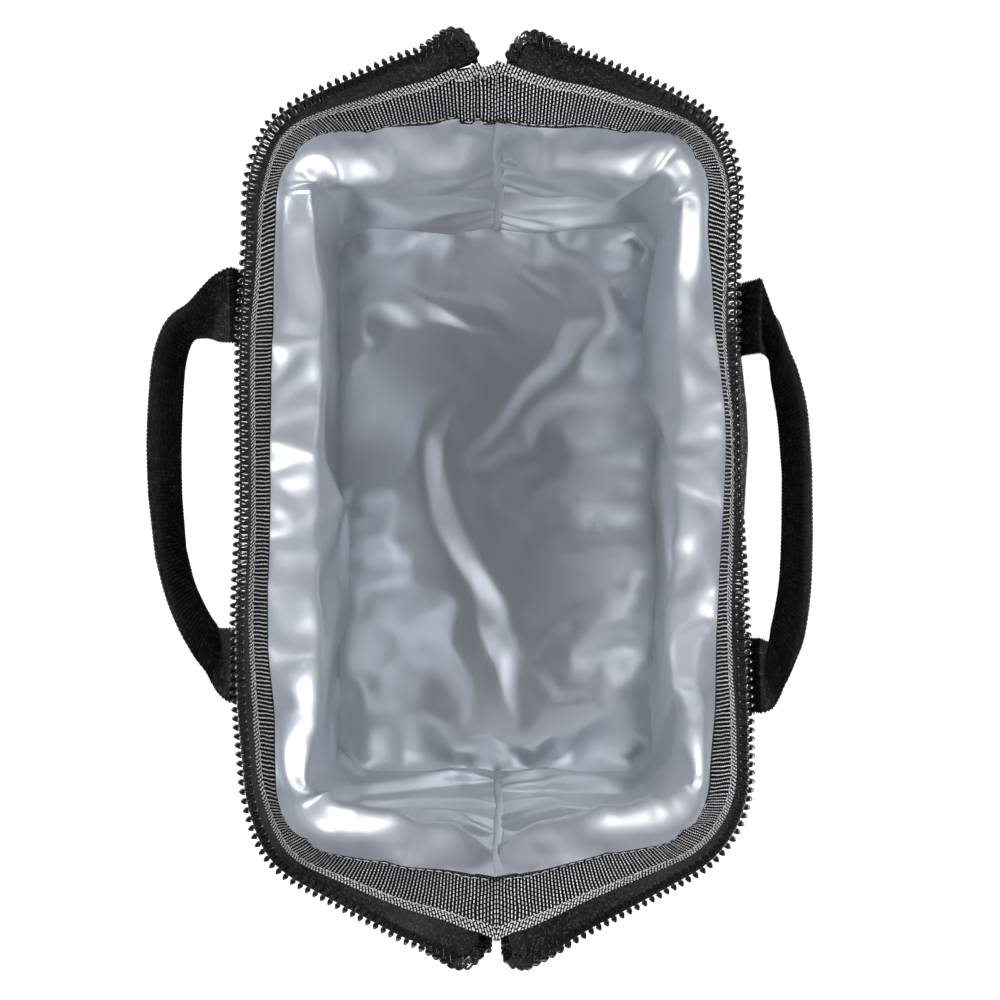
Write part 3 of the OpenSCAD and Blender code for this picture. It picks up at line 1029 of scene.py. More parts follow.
@dataclass
class OuterShell:
    """The woven outer panels and the base, with their seams."""

    step: float = 2.2
    top: float = 185.0
    below_handles: tuple[Row, ...] = ((-52, 72), (52, 108), (-38, 62), (38, 118))
    at_corners: tuple[Row, ...] = ((30, 8, 30), (52, -14, 26), (96, 12, 30), (140, -10, 24), (20, 24, 18))

    def relief(self, side: Side, u: Array, z: Array) -> Array:
        """How far the cloth stands off its even shape.

        Args:
            side: Which half of the bag.
            u: Places round the panel, as a table.
            z: Heights, as a table.

        Returns:
            Offset outwards, in millimetres.
        """
        seed = 3 if side is Side.FRONT else 8
        slack = np.sin(np.pi * np.clip((z - 4) / 176, 0, 1))
        out = 1.5 * waves(u, z, 62, seed) * slack + 0.6 * waves(u, z * 1.6, 24, seed + 1) * slack
        out += lifted([Fold(u0, 108, lean, 34, 5.5, 0.9) for u0, lean in self.below_handles], u, z)
        for corner in (-115, 115):
            for k, (v0, lean, size) in enumerate(self.at_corners):
                crease = Fold(corner + 4 * k - 8, v0, lean * np.sign(corner), size, 4.5, 0.8 + 0.15 * k)
                out += crease.lift(u, z)
        out += lifted(scattered(16, seed + 20, 80, (0.2, 0.55)), u, z)
        from_seam = SEAM - np.abs(u)
        out -= 1.3 * np.exp(-((from_seam / 3.2) ** 2))
        out += 0.35 * np.sin(z * 2 * math.pi / 8.5 + seed) * np.exp(-from_seam / 9)
        out -= 0.8 * np.exp(-(((z - 1.2) / 3.0) ** 2))
        out += 0.3 * np.sin(u * 2 * math.pi / 9.5) * np.exp(-np.abs(z - 4) / 7)
        out -= 0.5 * np.exp(-(((z - 176) / 2.0) ** 2))
        out += 0.25 * waves(u, z, 7.0, seed + 4) * ease(z, 168, 176)
        return out

    def outer(self, side: Side, u: Array, z: Array) -> Array:
        """Distance of the cloth from the walls' inside face, rows by columns."""
        even = np.array([BAG.outside(height) for height in z])[:, None]
        return even + self.relief(side, *np.meshgrid(u, z))

    def panel(self, side: Side) -> Object:
        """One outer panel, from the base seam to the zip."""
        u = spaced(-SEAM, SEAM, self.step)
        low, middle, high = spaced(1.2, 10, 1.1), spaced(10, 166, self.step), spaced(166, self.top, 1.2)
        z = np.concatenate([low[:-1], middle[:-1], high])
        points = BAG.sheet(side, u, z, self.outer(side, u, z))
        obj = cloth_grid(f"outer_panel_{side.value}", points, pairs(u, z), turned=side is Side.BACK)
        thicken(obj, 1.1)
        SHELL_CLOTH.dress(obj)
        return obj

    def foam(self, side: Side) -> Object:
        """The foam slab between the outer cloth and the liner."""
        u, z = spaced(-184.6, 184.6, 4.5), spaced(2.2, 181, 5.0)
        outer = self.outer(side, u, z) - 1.25
        inner = BAG.sheet(side, u, z, np.minimum(0.1, outer - 0.15))
        points = np.concatenate([inner, BAG.sheet(side, u, z, outer)[::-1], inner[:1]])
        obj = cloth_grid(f"wall_foam_{side.value}", points, pairs(u, np.arange(len(points)) * 5.0))
        close_up(obj)
        FOAM.dress(obj)
        return obj

    def end_tape(self, end: int) -> Object:
        """Bound seam down the middle of an end, a soft folded tape."""
        z = spaced(2.5, 182, 2.5)
        across = np.array([-4.6, -4.2, -3.4, -1.6, 0.0, 1.6, 3.4, 4.2, 4.6])
        crown = np.array([0.1, 0.55, 0.75, 1.0, 1.35, 1.0, 0.75, 0.55, 0.1])
        rows = []
        for height in z:
            _, length, slope, _ = BAG.level(height)
            wall = length + BAG.outside(height) * 1.02 - 0.75
            pucker = 0.3 * math.sin(height * 2 * math.pi / 8.5)
            x = end * (wall + crown - slope * np.abs(across) + pucker * (np.abs(across) / 4.6) ** 2)
            y = across * (1 + 0.04 * math.sin(height / 7))
            rows.append(np.column_stack([x, y, np.full_like(x, height)]))
        obj = cloth_grid(f"end_tape_{hand(end)}", np.array(rows), pairs(across, z), turned=end < 0)
        PIPING.dress(obj)
        return obj

    def around(self, distance: float) -> tuple[Array, Array]:
        """The whole base outline at a distance outside the inside face, closed, with its normals."""
        halves = BAG.ring(0.0, distance, spaced(-SEAM, SEAM, 4.0))
        return tuple(np.concatenate([half, (half * [1, -1])[::-1][1:]]) for half in halves)

    def base_panel(self) -> Object:
        """The base panel with a soft edge."""
        edge, _ = self.around(BAG.wall_t - 2.4)
        rows = [np.column_stack([edge * t, np.full(len(edge), 0.25 * ease(t, 0.93, 1.0))])
                for t in np.linspace(0, 1, 24)]
        rows.append(np.column_stack([edge * [1.004, 1.006], np.ones(len(edge))]))
        points = np.array(rows)
        obj = cloth_grid("base_panel", points, points[..., :2])
        close_up(obj, capped=False)
        BASE_CLOTH.dress(obj)
        return obj

    def welt(self) -> Object:
        """The corded seam round the base."""
        line, normal = self.around(BAG.wall_t - 1.4)
        turns = np.append(np.linspace(0, 2 * math.pi, 8, endpoint=False), 0.0)
        rows = []
        for a in turns:
            height = np.full(len(line), 1.25 + 1.15 * math.sin(a))
            rows.append(np.column_stack([line + normal * 1.1 * math.cos(a), height]))
        uv = pairs(distances(rows[0]), np.linspace(0, 7.2, len(rows)))
        obj = cloth_grid("base_welt", np.array(rows), uv)
        close_up(obj, capped=False)
        PIPING.dress(obj)
        return obj

    def build(self) -> None:
        """Make both panels, the end tapes, the base and the stitching."""
        for side in Side:
            panel = self.panel(side)
            Piece(panel, (f"shell_{side.value}",)).settle()
            slab = self.foam(side)
            Piece(slab, (f"foam_{side.value}",)).settle()
            u = spaced(-176, 176, 1.6)
            for seam, height in (("zip_seam", 181.0), ("base", 9.0)):
                z = np.full_like(u, height)
                line, normals = BAG.trace(side, u, z, BAG.outside(height) + self.relief(side, u, z) + 0.12)
                Piece(stitches(f"{seam}_stitches_{side.value}", line, normals, DARK_THREAD, 3.0)).settle()
        for end in (-1, 1):
            Piece(self.end_tape(end)).settle()
        Piece(self.base_panel(), ("base_fabric",)).settle()
        Piece(self.welt()).settle()


@dataclass
class Liner:
    """The foil liner: two creased wall films and the floor, each cut a little larger than its place."""

    step: float = 2.6
    top: float = 175.6
    growth: float = 0.034
    corner: float = 15.0

    def slack(self, side: Side, u: Array, z: Array) -> Array:
        """How far the film stands off the foam before it buckles, which steers its folds.

        Args:
            side: Which half of the bag.
            u: Places round the panel, as a table.
            z: Heights, as a table.

        Returns:
            Offset inwards at each point, in millimetres.
        """
        seed = 31 if side is Side.FRONT else 47
        loose = ease(z, 9, 34) * (1 - ease(z, 152, 174)) * ease(SEAM - np.abs(u), 0, 16)
        out = 1.6 + 1.2 * waves(u + 0.5 * z, z * 0.6, 46, seed)
        out += (4.8 + 3.0 * waves(u, z * 0, 38, seed + 2)) * np.exp(-(((z - 149) / 9) ** 2))
        return (out + lifted(self.folds(side), u, z)) * loose + 0.5

    def folds(self, side: Side) -> list[Fold]:
        """The deep folds of one panel."""
        front = ((8, 149, 123, 27, 8, 4.5), (20, 151, 94, 24, 5, 3.0), (-52, 150, 64, 28, 7, 3.6),
                 (134, 146, -56, 50, 9, 5.0), (156, 112, -48, 44, 8, 3.4), (98, 130, 66, 46, 9, 4.0),
                 (112, 90, 84, 60, 9, 3.0), (-30, 96, 80, 66, 12, 2.6), (34, 84, 100, 60, 11, 2.6),
                 (-122, 120, -78, 50, 9, 3.6), (-148, 128, 52, 40, 9, 3.4), (-160, 96, 74, 44, 7, 2.4),
                 (66, 34, 18, 50, 9, 2.2), (-84, 70, 62, 50, 9, 2.4))
        back = ((10, 148, 68, 30, 8, 4.0), (-52, 150, 112, 30, 7, 4.0), (52, 146, 80, 34, 8, 3.6),
                (-124, 124, 76, 56, 9, 4.0), (120, 140, -68, 50, 9, 4.4), (-66, 118, 104, 52, 11, 3.0),
                (2, 100, 90, 80, 7, 1.6), (80, 100, 72, 54, 10, 2.8), (152, 122, -46, 44, 8, 3.4),
                (-152, 124, 48, 44, 8, 3.6), (-30, 40, 14, 50, 9, 2.2), (40, 52, 58, 46, 8, 2.0))
        return [Fold(*row) for row in (front if side is Side.FRONT else back)]

    def creases(self, side: Side) -> list[Fold]:
        """The short sharp creases below the binding."""
        rng = np.random.RandomState(5 if side is Side.FRONT else 6)
        return [Fold(-172 + 19 * k + rng.uniform(-7, 7), rng.uniform(126, 160), rng.uniform(48, 132),
                     rng.uniform(14, 32), rng.uniform(3.0, 6.5), rng.uniform(1.2, 3.2)) for k in range(19)]

    def finished(self, film: Object) -> Object:
        """A film made finer and dressed in foil."""
        bake(film, "SUBSURF", levels=1, render_levels=1)
        FOIL.dress(film)
        smooth(film, 60)
        return film

    def panel(self, side: Side) -> Object:
        """One wall film, sewn down all round and buckled against the foam."""
        u, z = spaced(-SEAM, SEAM, self.step), spaced(BAG.floor_z - 0.2, self.top, self.step)
        uu, zz = np.meshgrid(u, z)
        points = BAG.sheet(side, u, z, -self.slack(side, uu, zz))
        obj = cloth_grid(f"liner_film_{side.value}", points, pairs(u, z), turned=side is Side.FRONT)
        foam = BAG.sheet(side, u, z, np.full_like(uu, -0.45)).reshape(-1, 3)
        away = BAG.sheet(side, u, z, np.full_like(uu, 0.55)).reshape(-1, 3) - foam
        sewn = (zz < BAG.floor_z + 2) | (zz > self.top - 4) | (np.abs(uu) > 183.5)
        ends = buckle(obj, sewn.ravel(), self.growth, 28, 16.0)
        depth = ((ends - foam) * away).sum(1, keepdims=True)
        crests = [fold.sharper() for fold in self.folds(side)] + self.creases(side)
        crisp = lifted(crests, uu, zz) * ease(zz, 12, 40) * (1 - ease(zz, 162, 173))
        set_points(obj, ends + away * (np.clip(depth - crisp.reshape(-1, 1), -15, 0) - depth))
        return self.finished(obj)

    def floor(self) -> Object:
        """The floor film over the board, with its welded edge."""
        w, l = BAG.base[0] - 0.3, BAG.base[1] - 0.3
        u, v = spaced(-l, l, 2.4), spaced(-w, w, 2.4)
        uu, vv = np.meshgrid(u, v)
        edge = np.minimum(l - np.abs(uu), w - np.abs(vv))
        folds = (Fold(-60, 12, 24, 60, 6, 0.8), Fold(48, -20, -36, 56, 6, 0.7), Fold(6, 34, 8, 70, 6, 0.5),
                 Fold(88, 26, 62, 34, 5, 0.8))
        lift = 0.8 + 0.5 * waves(uu, vv, 60, 90) + lifted(folds, uu, vv)
        lift = np.clip(lift, 0.1, 3) * ease(edge, 0, 12) + 0.25
        r = self.corner
        cx, cy = np.clip(np.abs(uu) - (l - r), 0, None), np.clip(np.abs(vv) - (w - r), 0, None)
        square, radius = np.maximum(cx, cy), np.hypot(cx, cy)
        pull = np.where(radius > 0, square / np.maximum(radius, 1e-6), 1.0)
        x = np.sign(uu) * (np.minimum(np.abs(uu), l - r) + cx * pull)
        y = np.sign(vv) * (np.minimum(np.abs(vv), w - r) + cy * pull)
        obj = cloth_grid("liner_floor", np.stack([x, y, BAG.floor_z + lift], 2), pairs(u, v))
        ends = buckle(obj, (edge < 3).ravel(), 0.007, 18, 22.0)
        ends[:, 2] = np.clip(ends[:, 2], BAG.floor_z + 0.2, BAG.floor_z + 4.0)
        set_points(obj, ends)
        return self.finished(obj)

    def seam(self, end: int) -> Object:
        """The welded seam down an end of the liner: a narrow flap pressed to one side."""
        z = spaced(BAG.floor_z + 1.5, 172, 1.5)
        across = np.array([-2.6, -2.3, -1.2, 0.2, 0.9, 1.1])
        lift = np.array([0.1, 0.5, 0.75, 0.9, 0.7, 0.1])
        rows = []
        for height in z:
            _, length, slope, _ = BAG.level(height)
            wave = 0.5 * math.sin(height / 17.0) + 0.2 * math.sin(height / 7.0)
            x = end * (length - 0.55 - lift - slope * np.abs(across) * 0.6)
            rows.append(np.column_stack([x, across + wave, np.full_like(x, height)]))
        obj = cloth_grid(f"liner_seam_{hand(end)}", np.array(rows), pairs(across, z), turned=end > 0)
        thicken(obj, 0.3)
        FOIL.dress(obj)
        return obj

    def build(self) -> None:
        """Make the films, the floor and the end seams."""
        for side in Side:
            film = self.panel(side)
            Piece(film, (f"liner_{side.value}",)).settle()
        floor = self.floor()
        Piece(floor, ("base_liner",)).settle()
        for end in (-1, 1):
            Piece(self.seam(end), (f"end_seam_{hand(end)}",)).settle()


@dataclass
class Binding:
    """Ribbed tape sewn over the raw edge between the liner and the zip."""

    low: float = 171.4
    high: float = 188.4
    rib: float = 1.45

    def depth(self, side: Side, u: Array, z: Array) -> Array:
        """How far the tape stands inwards of the wall's inside face.

        Args:
            side: Which half of the bag.
            u: Places round the tape, as a table.
            z: Heights, as a table.

        Returns:
            Offset inwards, in millimetres.
        """
        seed = 61 if side is Side.FRONT else 67
        t = (z - self.low) / (self.high - self.low)
        out = 1.15 + 0.35 * np.sin(np.pi * t)
        out += 0.16 * np.abs(np.sin(np.pi * u / self.rib)) * ease(t, 0.0, 0.06)
        out += (0.55 * waves(u, z, 44, seed)) * (1 - ease(t, 0.1, 0.75))
        for corner, size in ((-118, 1.6), (112, 1.3), (141, 1.1), (-146, 0.9)):
            lean = np.abs(u - corner + 9 * (t - 0.4) * np.sign(corner))
            out += size * np.exp(-lean / 3.2) * (1 - ease(t, 0.55, 0.95))
        if side is Side.BACK:
            for low, high in ((173.0, 176.8), (180.2, 184.0)):
                out += 1.5 * ease(u, low, low + 0.7) * (1 - ease(u, high, high + 2.2))
        else:
            out += 0.5 * ease(u, 181.5, 182.2)
        out += 0.5 * ease(-u, 178, 179)
        return out

    def tape(self, side: Side) -> Object:
        """One half of the binding, with its ribs modelled."""
        u = np.linspace(-184.9, 184.9, int(370 / self.rib * 5))
        middle = spaced(self.low + 1.2, self.high - 1.2, 1.25)
        z = np.concatenate([[self.low, self.low + 0.35], middle, [self.high - 0.35, self.high]])
        uu, zz = np.meshgrid(u, z)
        points = BAG.sheet(side, u, z, -self.depth(side, uu, zz))
        run = (zz - self.low) / (self.high - self.low) * BINDING.width
        cloth = np.sign(uu) * (np.minimum(np.abs(uu), 104) + 1.42 * np.clip(np.abs(uu) - 104, 0, None))
        uv = np.stack([cloth, run], 2)
        obj = cloth_grid(f"binding_tape_{side.value}", points, uv, turned=side is Side.FRONT)
        thicken(obj, 0.6)
        BINDING.dress(obj)
        return obj

    @staticmethod
    def upper_row(u: Array) -> Array:
        """Height of the long row near the outer edge, which wanders a little."""
        return 0.86 + 0.012 * np.sin(u / 13) + 0.006 * np.sin(u / 4.1)

    @staticmethod
    def lower_row(u: Array) -> Array:
        """Height of the rows near the inner edge, at the ends of the bag."""
        return 0.10 + 0.02 * np.sin(u / 6)

    def row(self, side: Side, low: float, high: float, t: Callable[[Array], Array]) -> Object:
        """A row of pale stitches on the tape's face.

        Args:
            side: Which half of the bag.
            low: Where the row starts round the tape.
            high: Where it ends.
            t: Its height at a place, from 0 at the tape's inner edge to 1.

        Returns:
            The row.
        """
        u = spaced(low, high, 1.0)
        z = self.low + t(u) * (self.high - self.low)
        line, outwards = BAG.trace(side, u, z, -self.depth(side, u, z) - 0.12)
        return stitches("row", line, [0, 0, 0.5] - outwards, PALE_THREAD, 2.7, 0.6, 0.34)

    def build(self) -> None:
        """Make both halves and their stitching."""
        for side in Side:
            Piece(self.tape(side), (f"binding_{side.value}",)).settle()
            rows = [self.row(side, -182, 182, self.upper_row)]
            rows += [self.row(side, low, high, self.lower_row) for low, high in ((104, 183), (-183, -104))]
            Piece(join(f"binding_stitches_{side.value}", *rows)).settle()


def curve(stations: Array, count: int) -> Array:
    """Points on a smooth curve through stations, evenly spread between them.

    Args:
        stations: Stations by any number of values.
        count: Steps between two stations.

    Returns:
        The values along the curve.
    """
    p = np.vstack([2 * stations[0] - stations[1], stations, 2 * stations[-1] - stations[-2]])
    t = np.arange(count)[:, None] / count
    out = []
    for a, b, c, d in zip(p[:-3], p[1:-2], p[2:-1], p[3:]):
        square, cube = 2 * a - 5 * b + 4 * c - d, 3 * b - a - 3 * c + d
        out.append(0.5 * (2 * b + (c - a) * t + square * t**2 + cube * t**3))
    return np.vstack(out + [stations[-1:]])


@dataclass
class Zip:
    """The zip: tape, moulded teeth, stops, tail and slider."""

    pitch: float = 2.9
    edge_z: float = 195.9
    tail_x: float = -150.8
    head: tuple[Row, ...] = ((0.2, 0.66, 0.8), (0.4, 1.5, 1.12), (0.62, 0.84, 0.92), (0.62, 0.6, 0.78),
                             (0.34, 0.42, 0.5))
    tail_box: tuple[Row, ...] = ((-6.4, 134.5), (-6.4, 145.5), (6.4, 145.5), (6.4, 134.5), (-6.4, 134.5))

    def turn(self, side: Side, end: int) -> Array:
        """Where a chain turns over at one end: its edge, its teeth's direction and the tape's foot.

        Args:
            side: Which half of the bag.
            end: 1 for the end towards +X, -1 for the tail's end.

        Returns:
            Rows from the rim inwards by 9, for the front half.
        """
        peaks = {(Side.FRONT, 1): 11.3, (Side.BACK, 1): 14.3, (Side.FRONT, -1): 8.6, (Side.BACK, -1): 11.9}
        peak = peaks[side, end]
        deep = 0.0 if end > 0 else 1.6
        rows = [
            [153.6, peak + 3.6, 195.0, 0.88, 0.12, 0.2, 143.0, peak + 2.4],
            [154.6, peak + 0.6, 194.4, 0.94, 0.2, -0.15, 144.2, peak - 1.2],
            [154.2 + 0.4 * deep, peak - 2.2, 193.2, 0.8, 0.5, -0.4, 145.4, peak - 3.6],
            [152.2 + deep, peak - 4.4, 191.0, 0.55, 0.7, -0.45, 146.4, peak - 5.2],
            [150.2 + 1.4 * deep, max(peak - 6.0, 4.0), 188.0, 0.3, 0.93, -0.2, 147.2, max(peak - 5.6, 4.6)],
            [148.6 + 1.8 * deep, max(peak - 6.9, 4.0), 184.4, 0.2, 0.97, 0, 147.6, max(peak - 5.4, 5.6)],
        ]
        turned = np.array([end, -1, 1, end, 1, 1, end, -1])
        return np.column_stack([rows * turned, np.full(len(rows), 185.0)])

    def across(self, side: Side, t: float) -> Array:
        """A line along the tape, t from 0 at its foot to 1 at its edge, bent outwards towards the edge."""
        edge, ups, foot = self.path(side)
        reach = np.linalg.norm(edge - foot, axis=1, keepdims=True)
        hook = edge - ups * reach * 0.42
        return foot * (1 - t) ** 2 + hook * 2 * t * (1 - t) + edge * t**2

    def path(self, side: Side) -> tuple[Array, Array, Array]:
        """The tape's toothed edge from the tail's foot, over the rim, to the closing end.

        Args:
            side: Which half of the bag.

        Returns:
            Points on the edge, the way the teeth point there, and the inner edge of the tape.
        """
        u = spaced(-165, 165, 2.0)
        flat = 1 - ease(-u, -10, 55) * 0.9 - ease(u, 115, 150) * 0.9
        out = 0.1 + 1.7 * (1 - flat)
        lean = 77 - 22 * flat + 8 * ease(np.abs(u), 145, 162)
        if side is Side.FRONT:
            lean -= 26 * ease(u, -45, -5) * (1 - ease(u, 38, 70))
        lean = np.radians(lean)
        edge = np.array([BAG.ring(self.edge_z, d, np.array([a]))[0][0] for a, d in zip(u, out)])
        away = BAG.ring(self.edge_z, 0.5, u)[1]
        foot, _ = BAG.ring(185.4, 0.4, u)
        height, aside = self.edge_z - 0.9 * (1 - flat), away * np.sin(lean)[:, None]
        rim = np.column_stack([edge, height, aside, np.cos(lean), foot, np.full(len(u), 185.4)])
        x, top = self.tail_x, self.turn(side, -1)[::-1]
        tail = np.array([
            [x, -3.9, 146.0, 0, 1, 0, x, -8.9, 146.0],
            [x, -3.9, 158.0, 0, 1, 0, x, -8.9, 158.0],
            [x, -3.9, 170.0, 0, 1, 0, x, -8.9, 170.0],
            [x - 0.8, -3.9, 178.0, -0.1, 1, 0, x + 0.6, -8.4, 177.0],
            [x - 2.2, -4.2, 185.0, -0.3, 1, 0, -148.0, -7.0, 182.4],
        ])
        tail, head = np.vstack([tail, top]), self.turn(side, 1)
        whole = np.vstack([curve(tail, 8), curve(rim, 2), curve(head, 8)])
        whole = curve(whole[::3], 3)
        whole[:, 1::3] *= side.mirror
        edge, ups, foot = np.hsplit(whole, 3)
        return edge, unit(ups), foot

    def tape(self, side: Side) -> Object:
        """The woven tape with the cord that the teeth grip along its edge."""
        edge, ups, _ = self.path(side)
        run = distances(edge)
        across = np.array([0, 0.12, 0.26, 0.4, 0.54, 0.68, 0.8, 0.9, 1.0])
        ripple = 0.28 * np.sin(run / 7.0) + 0.2 * np.sin(run / 2.9 + 1)
        outwards = unit(np.cross(np.gradient(edge, axis=0), ups)) * side.mirror
        wave = outwards * (0.5 * ripple)[:, None]
        rows = [self.across(side, t) + wave * math.sin(math.pi * t) for t in across]
        uv = pairs(run, across * 12.5)
        obj = cloth_grid(f"zip_tape_{side.value}", np.array(rows), uv, turned=side is Side.BACK)
        thicken(obj, 0.8, offset=0.0)
        TAPE_CLOTH.dress(obj)
        return obj

    def cord(self, side: Side) -> Object:
        """The bead along the tape's edge."""
        edge, ups, _ = self.path(side)
        across = unit(np.cross(np.gradient(edge, axis=0), ups))
        turns = np.linspace(0, 2 * math.pi, 8)
        rows = [edge + ups * (0.55 * math.cos(a)) + across * (0.62 * math.sin(a)) for a in turns]
        obj = cloth_grid("cord", np.array(rows), pairs(distances(edge), np.linspace(0, 3, len(rows))))
        close_up(obj, capped=False)
        TAPE_CLOTH.dress(obj)
        return obj

    def tooth(self) -> Object:
        """One moulded tooth: a root that grips the tape, a waist, and a pointed head with a groove."""
        obj = block((2.1, 2.6, 2.2), (0, -0.9, 0))
        top = max(face.center.y for face in obj.data.polygons)
        for part in (obj.data.vertices, obj.data.edges, obj.data.polygons):
            part.foreach_set("select", [False] * len(part))
        for face in obj.data.polygons:
            face.select = face.center.y > top - 1e-6
        activate(obj)
        bpy.ops.object.mode_set(mode="EDIT")
        bpy.ops.mesh.select_mode(type="FACE")
        for rise, wide, deep in self.head:
            top += rise * MM
            bpy.ops.mesh.extrude_region_move(TRANSFORM_OT_translate={"value": (0, rise * MM, 0)})
            bpy.ops.transform.resize(value=(wide, 1, deep), center_override=(0, top, 0))
        bpy.ops.object.mode_set(mode="OBJECT")
        for face in (-1, 1):
            groove = block((0.42, 2.6, 0.7), (0, -0.7, face * 1.15))
            bake(obj, "BOOLEAN", object=groove, operation="DIFFERENCE", solver="EXACT")
            bpy.data.objects.remove(groove)
        soften(obj, 0.18)
        smooth(obj, 60)
        return obj

    def teeth(self, side: Side) -> Object:
        """Every tooth of one chain."""
        edge, ups, _ = self.path(side)
        start = 7.6 if side is Side.FRONT else 7.6 + self.pitch / 2
        places, index = walk(edge, self.pitch, start, 1.6)
        log.info("%s chain: %d teeth", side.value, len(places))
        close = 1 + 0.75 * ease(np.abs(places[:, :1]), 145, 151) * ease(places[:, 2:], 185, 188)
        obj = copies(f"zip_teeth_{side.value}", self.tooth(), frames(places, at_index(ups, index), close))
        TOOTH.dress(obj)
        return obj

    def stops(self) -> Object:
        """The pair of stops at the closing end of the chains."""
        stop = block((2.6, 2.4, 2.5))
        soften(stop, 0.5, 3)
        places = []
        for side in Side:
            edge, ups, _ = self.path(side)
            places.append(frames(edge[-4:] - [0, 0, 2.0], ups[-4:])[3])
        obj = copies("zip_stops", stop, np.array(places))
        TOOTH.dress(obj)
        return obj

    def seam(self, side: Side) -> Object:
        """The stitch row that holds the tape beside the binding."""
        edge, ups, _ = self.path(side)
        keep = (np.abs(edge[:, 0]) < 149) & (edge[:, 2] > 194)
        normals = unit(np.cross(np.gradient(edge, axis=0), ups))[keep] * -side.mirror
        line = self.across(side, 0.36)[keep] + normals * 0.5
        return stitches(f"tape_stitches_{side.value}", line, normals, DARK_THREAD, 2.6, 0.6, 0.36)

    def tail_tab(self) -> Object:
        """Folded cloth tab over the cut end of the zip, rolled at its foot."""
        y = np.linspace(-8.2, 8.2, 18)
        turn = np.linspace(0, 2 * math.pi, 20)
        plump = (1 - (y / 8.9) ** 6) * (1 + 0.06 * np.sin(y * 1.3))
        rows = []
        for a in turn:
            c, s = math.cos(a), math.sin(a)
            z = 140.0 + 8.0 * math.copysign(abs(c) ** 0.35, c)
            bulge = 1.25 * math.copysign(abs(s) ** 0.6, s)
            rows.append(np.column_stack([self.tail_x - bulge * plump, y, z + 0.12 * np.sin(y)]))
        obj = cloth_grid("zip_tail_tab", np.array(rows), pairs(y, turn * 5))
        close_up(obj)
        PIPING.dress(obj)
        return obj

    def build(self) -> None:
        """Make the tapes, chains, tail and slider."""
        for side in Side:
            tape = join(f"zip_tape_{side.value}", self.tape(side), self.cord(side))
            Piece(tape, (f"zip_tape_{side.value}",)).settle()
            Piece(self.teeth(side), (f"zip_teeth_{side.value}",)).settle()
            Piece(self.seam(side)).settle()
        Piece(self.tail_tab(), ("zip_tail_tab",)).settle()
        corners = [[self.tail_x - 1.5, y, z] for y, z in self.tail_box]
        points = curve(np.array(corners), 10)
        away = np.tile([-1.0, 0, 0], (len(points), 1))
        Piece(stitches("tail_stitches", points, away, DARK_THREAD, 2.4, 0.5, 0.4)).settle()
        Piece(self.stops(), ("zip_top_stops",)).settle()
        Piece(softened("zip_bottom_stop", 0.35, TOOTH), ("zip_bottom_stop",)).settle()
        for node, width in (("slider_body", 0.28), ("slider_bridge", 0.35)):
            Piece(softened(node, width, ENAMEL), (node,), "slider").settle()
        Piece(softened("pull_tab", 0.35, ENAMEL), ("pull_tab",), "puller").settle()


def softened(node: str, width: float, finish: Finish) -> Object:
    """A CAD node's shape again with its edges rounded off.

    Args:
        node: Name of the CAD node.
        width: Width of the rounding in millimetres.
        finish: Finish of the piece.

    Returns:
        The new piece.
    """
    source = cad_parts[node]
    obj = new_object(f"{node}_finished", source.data.copy())
    obj.data.transform(source.matrix_world)
    edit(obj, lambda: bpy.ops.mesh.remove_doubles(threshold=0.000005),
         lambda: bpy.ops.mesh.dissolve_limited(angle_limit=math.radians(1.5)))
    soften(obj, width)
    smooth(obj, 45)
    finish.dress(obj)
    return obj


# Outboard and inboard edge of each loop's webbing, from the foot at either end to the middle
FRONT_RAILS: dict[int, tuple[Row, ...]] = {
    1: (
        (75.6, 88.6, 179.5, 50.2, 88.4, 179.0), (75.4, 90.2, 183.6, 50.0, 90.2, 182.6),
        (71.0, 91.6, 185.2, 49.8, 92.6, 177.5), (64.5, 94.0, 184.9, 48.8, 95.0, 170.0),
        (58.5, 96.2, 184.2, 46.5, 96.5, 163.5), (52.0, 99.3, 183.5, 42.0, 97.5, 160.5),
        (44.0, 102.5, 183.2, 37.0, 98.5, 159.8), (30.0, 105.8, 183.0, 27.0, 100.2, 159.3),
        (10.0, 107.2, 183.0, 9.0, 101.7, 159.2),
    ),
    -1: (
        (-72.7, 88.6, 179.5, -47.3, 88.4, 179.2), (-72.5, 90.4, 183.6, -47.1, 90.0, 183.2),
        (-71.0, 94.0, 184.2, -48.5, 92.8, 179.0), (-67.5, 96.5, 183.5, -49.5, 95.0, 170.5),
        (-62.5, 98.8, 183.2, -48.5, 96.5, 163.5), (-55.5, 102.0, 183.0, -45.0, 97.6, 160.5),
        (-47.0, 105.0, 183.0, -40.0, 98.8, 159.8), (-30.0, 107.0, 183.0, -28.0, 100.6, 159.3),
        (-10.0, 107.5, 183.0, -9.0, 101.5, 159.2),
    ),
}
